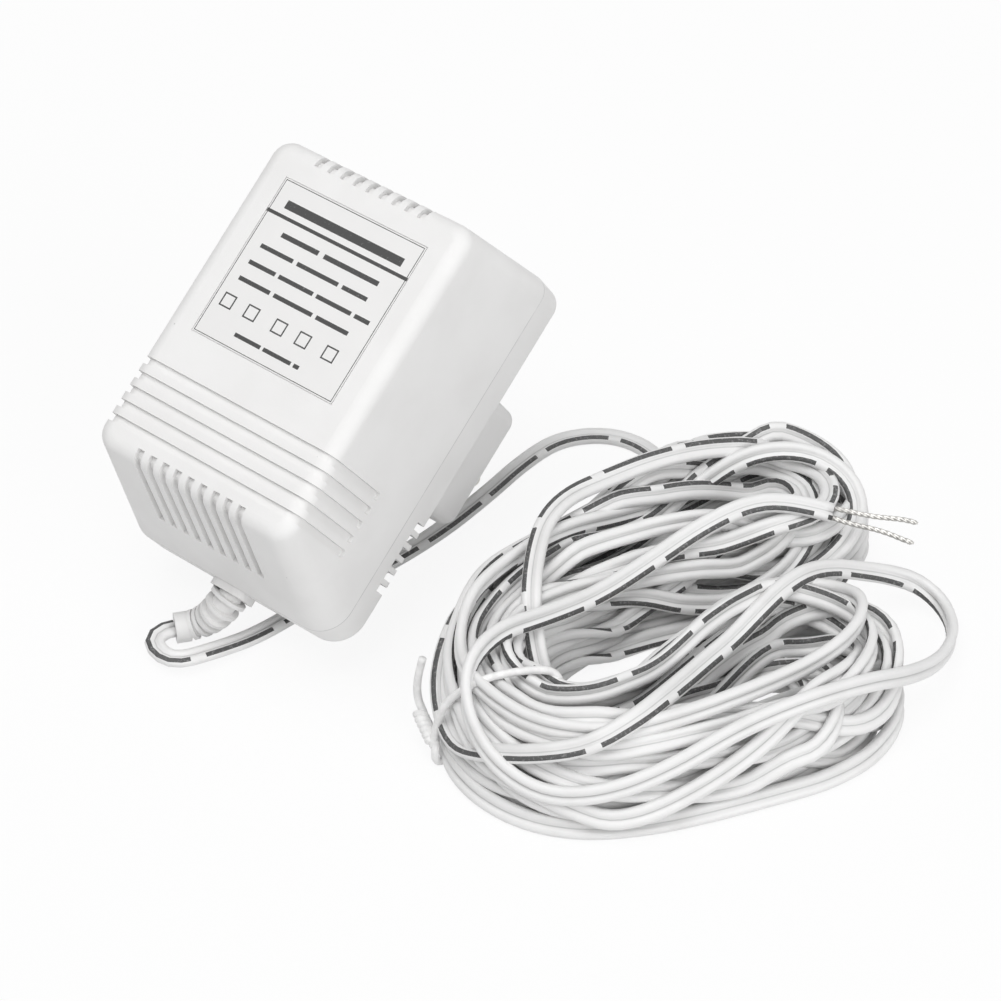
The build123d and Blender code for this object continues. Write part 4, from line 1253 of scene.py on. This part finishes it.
@dataclass
class Stage:
    """White floor, soft lamps and an even world."""
    floor_half: float = 3000.0
    floor_level: float = 0.86
    floor_mottle: float = 0.01
    floor_white: float = 0.9
    world_level: float = 0.36
    aim: Triple = (0.03, 0.01, 0.03)
    lamps: tuple[Lamp, ...] = (
        Lamp("key_lamp", (-0.05, -0.45, 1.95), 1.4, 22.5),
        Lamp("side_lamp", (1.6, -0.4, 0.9), 1.2, 13.0))

    def seen(self, tree: bpy.types.NodeTree) -> bpy.types.NodeSocket:
        """1 for the rays that see the background."""
        path = tree.nodes.new("ShaderNodeLightPath")
        total = path.outputs[Ray.CAMERA.value]
        for kind in (Ray.GLOSSY, Ray.TRANSMISSION):
            larger = tree.nodes.new("ShaderNodeMath")
            larger.operation = "MAXIMUM"
            tree.links.new(total, larger.inputs[0])
            tree.links.new(path.outputs[kind.value], larger.inputs[1])
            total = larger.outputs[0]
        return total

    def build_floor(self) -> None:
        """Builds the floor, which is nearly white to the camera and keeps the shadow."""
        half = self.floor_half * MM
        corners = np.array(((-half, -half, 0), (half, -half, 0), (half, half, 0), (-half, half, 0)))
        floor = make_object("floor", corners, [[0, 1, 2, 3]])
        graph = Graph("floor_white")
        fine = graph.noise(30.0)
        plain = graph.node("ShaderNodeBsdfDiffuse", None, {
            "Color": graph.blend(fine, grey(self.floor_level), grey(self.floor_level - self.floor_mottle))})
        bright = graph.node("ShaderNodeEmission", None, {"Color": grey(1.0), "Strength": 1.0})
        share = Sock(graph, self.seen(graph.tree)) * self.floor_white
        graph.node_output(graph.node("ShaderNodeMixShader", None, {0: share, 1: plain, 2: bright}))
        floor.data.materials.append(graph.material)

    def build_world(self) -> None:
        """Builds an even world that is white where the camera sees it."""
        world = bpy.data.worlds.new("studio")
        world.use_nodes = True
        tree = world.node_tree
        tree.nodes.clear()
        strength = tree.nodes.new("ShaderNodeMapRange")
        strength.inputs["To Min"].default_value = self.world_level
        strength.inputs["To Max"].default_value = 1.0
        tree.links.new(self.seen(tree), strength.inputs["Value"])
        background = tree.nodes.new("ShaderNodeBackground")
        background.inputs["Color"].default_value = grey(1.0)
        tree.links.new(strength.outputs[0], background.inputs["Strength"])
        end = tree.nodes.new("ShaderNodeOutputWorld")
        tree.links.new(background.outputs[0], end.inputs["Surface"])
        bpy.context.scene.world = world

    def build_lamp(self, lamp: Lamp) -> None:
        """Hangs a lamp so that it looks at the object."""
        data = bpy.data.lights.new(lamp.name, "AREA")
        data.shape = "SQUARE"
        data.size = lamp.size
        data.energy = lamp.power
        made = bpy.data.objects.new(lamp.name, data)
        made.location = lamp.place
        way = Vector(self.aim) - Vector(lamp.place)
        made.rotation_euler = way.to_track_quat("-Z", "Y").to_euler()
        bpy.context.collection.objects.link(made)

    def build(self) -> None:
        """Builds the whole stage."""
        self.build_floor()
        self.build_world()
        for lamp in self.lamps:
            self.build_lamp(lamp)
        bpy.context.scene.view_settings.view_transform = "Standard"


@dataclass(frozen=True)
class PhotoCamera:
    """Camera at the photograph's place, with its lens."""
    place: Triple = (345.66, -385.85, 500.29)
    forward: Triple = (-0.4494, 0.5734, -0.6850)
    focal_pixels: float = 3512.0
    image_pixels: float = 1001.0
    sensor: float = 36.0
    clip: tuple[float, float] = (0.01, 20.0)

    def build(self) -> None:
        """Makes the scene's camera."""
        data = bpy.data.cameras.new("photo_camera")
        data.sensor_width = self.sensor
        data.lens = self.focal_pixels / self.image_pixels * self.sensor
        data.clip_start, data.clip_end = self.clip
        camera = bpy.data.objects.new("photo_camera", data)
        camera.location = Vector(self.place) * MM
        camera.rotation_euler = Vector(self.forward).to_track_quat("-Z", "Y").to_euler()
        bpy.context.collection.objects.link(camera)
        bpy.context.scene.camera = camera


def node_finishes() -> dict[str, Any]:
    """The finish of each node that keeps its shape."""
    case = MouldedPlastic("case_white", grey(0.83, 0.004), grey(0.79, 0.005), seam=PARTING_DEPTH)
    relief = MouldedPlastic("relief_white", grey(0.80, 0.003), grey(0.75, 0.005), 0.5, 0.5, 0.01)
    bobbin = MouldedPlastic("bobbin_black", grey(0.02), grey(0.03), 0.4, 0.4, 0.02)
    sleeve = MouldedPlastic("sleeve_black", grey(0.015), grey(0.025), 0.38, 0.3, 0.01)
    fuse = MouldedPlastic("fuse_body", grey(0.62, 0.05), grey(0.55, 0.05), 0.35, 0.4, 0.01)
    pin = PlatedMetal("nickel_pin", (0.66, 0.64, 0.60, 1.0))
    terminal = PlatedMetal("tinned_terminal", (0.70, 0.70, 0.69, 1.0), 0.3)
    brown = PlainInsulation("brown_lead", (0.13, 0.05, 0.025, 1.0))
    white = PlainInsulation("white_lead", grey(0.72, 0.01))
    steel, wire, tape = StackedSteel(), WoundWire(), FilmTape()
    return {
        "front_shell": case, "back_cover": case, "rating_label": PrintedLabel(),
        "strain_relief": relief, "left_plug_pin": pin, "right_plug_pin": pin,
        "left_pin_sleeve": sleeve, "right_pin_sleeve": sleeve,
        "core_e_stack": steel, "core_i_stack": steel, "bobbin": bobbin,
        "primary_winding": wire, "secondary_winding": wire, "primary_tape": tape, "secondary_tape": tape,
        "thermal_fuse": fuse, "primary_terminals": terminal, "secondary_terminals": terminal,
        "left_mains_lead": brown, "right_mains_lead": brown,
        "output_lead_a": white, "output_lead_b": white,
    }


def main() -> None:
    """Builds the scene piece by piece."""
    logging.basicConfig(level=logging.INFO, format="%(name)s: %(message)s")
    PhotoCamera().build()
    wiring = FlatTwinCord()
    cord, path, flat, tied = wiring.build()
    heading = unit(path[-1] - path[-3])
    ends = BareEnds().build(path[-1], heading, flat[-1])
    tie = wiring.tie.build(tied)
    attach(cord, BODY)
    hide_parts("cord_run", "cord_hank", "cord_tail")
    for end, node in zip(ends, ("bare_end_a", "bare_end_b")):
        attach(end, BODY)
        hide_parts(node)
    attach(tie, BODY)
    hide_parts("twist_tie")
    tuple(path[0] * MM)
    (path * MM).tolist()
    Dressing(node_finishes()).apply()
    Stage().build()


if __name__ == "__main__":
    main()
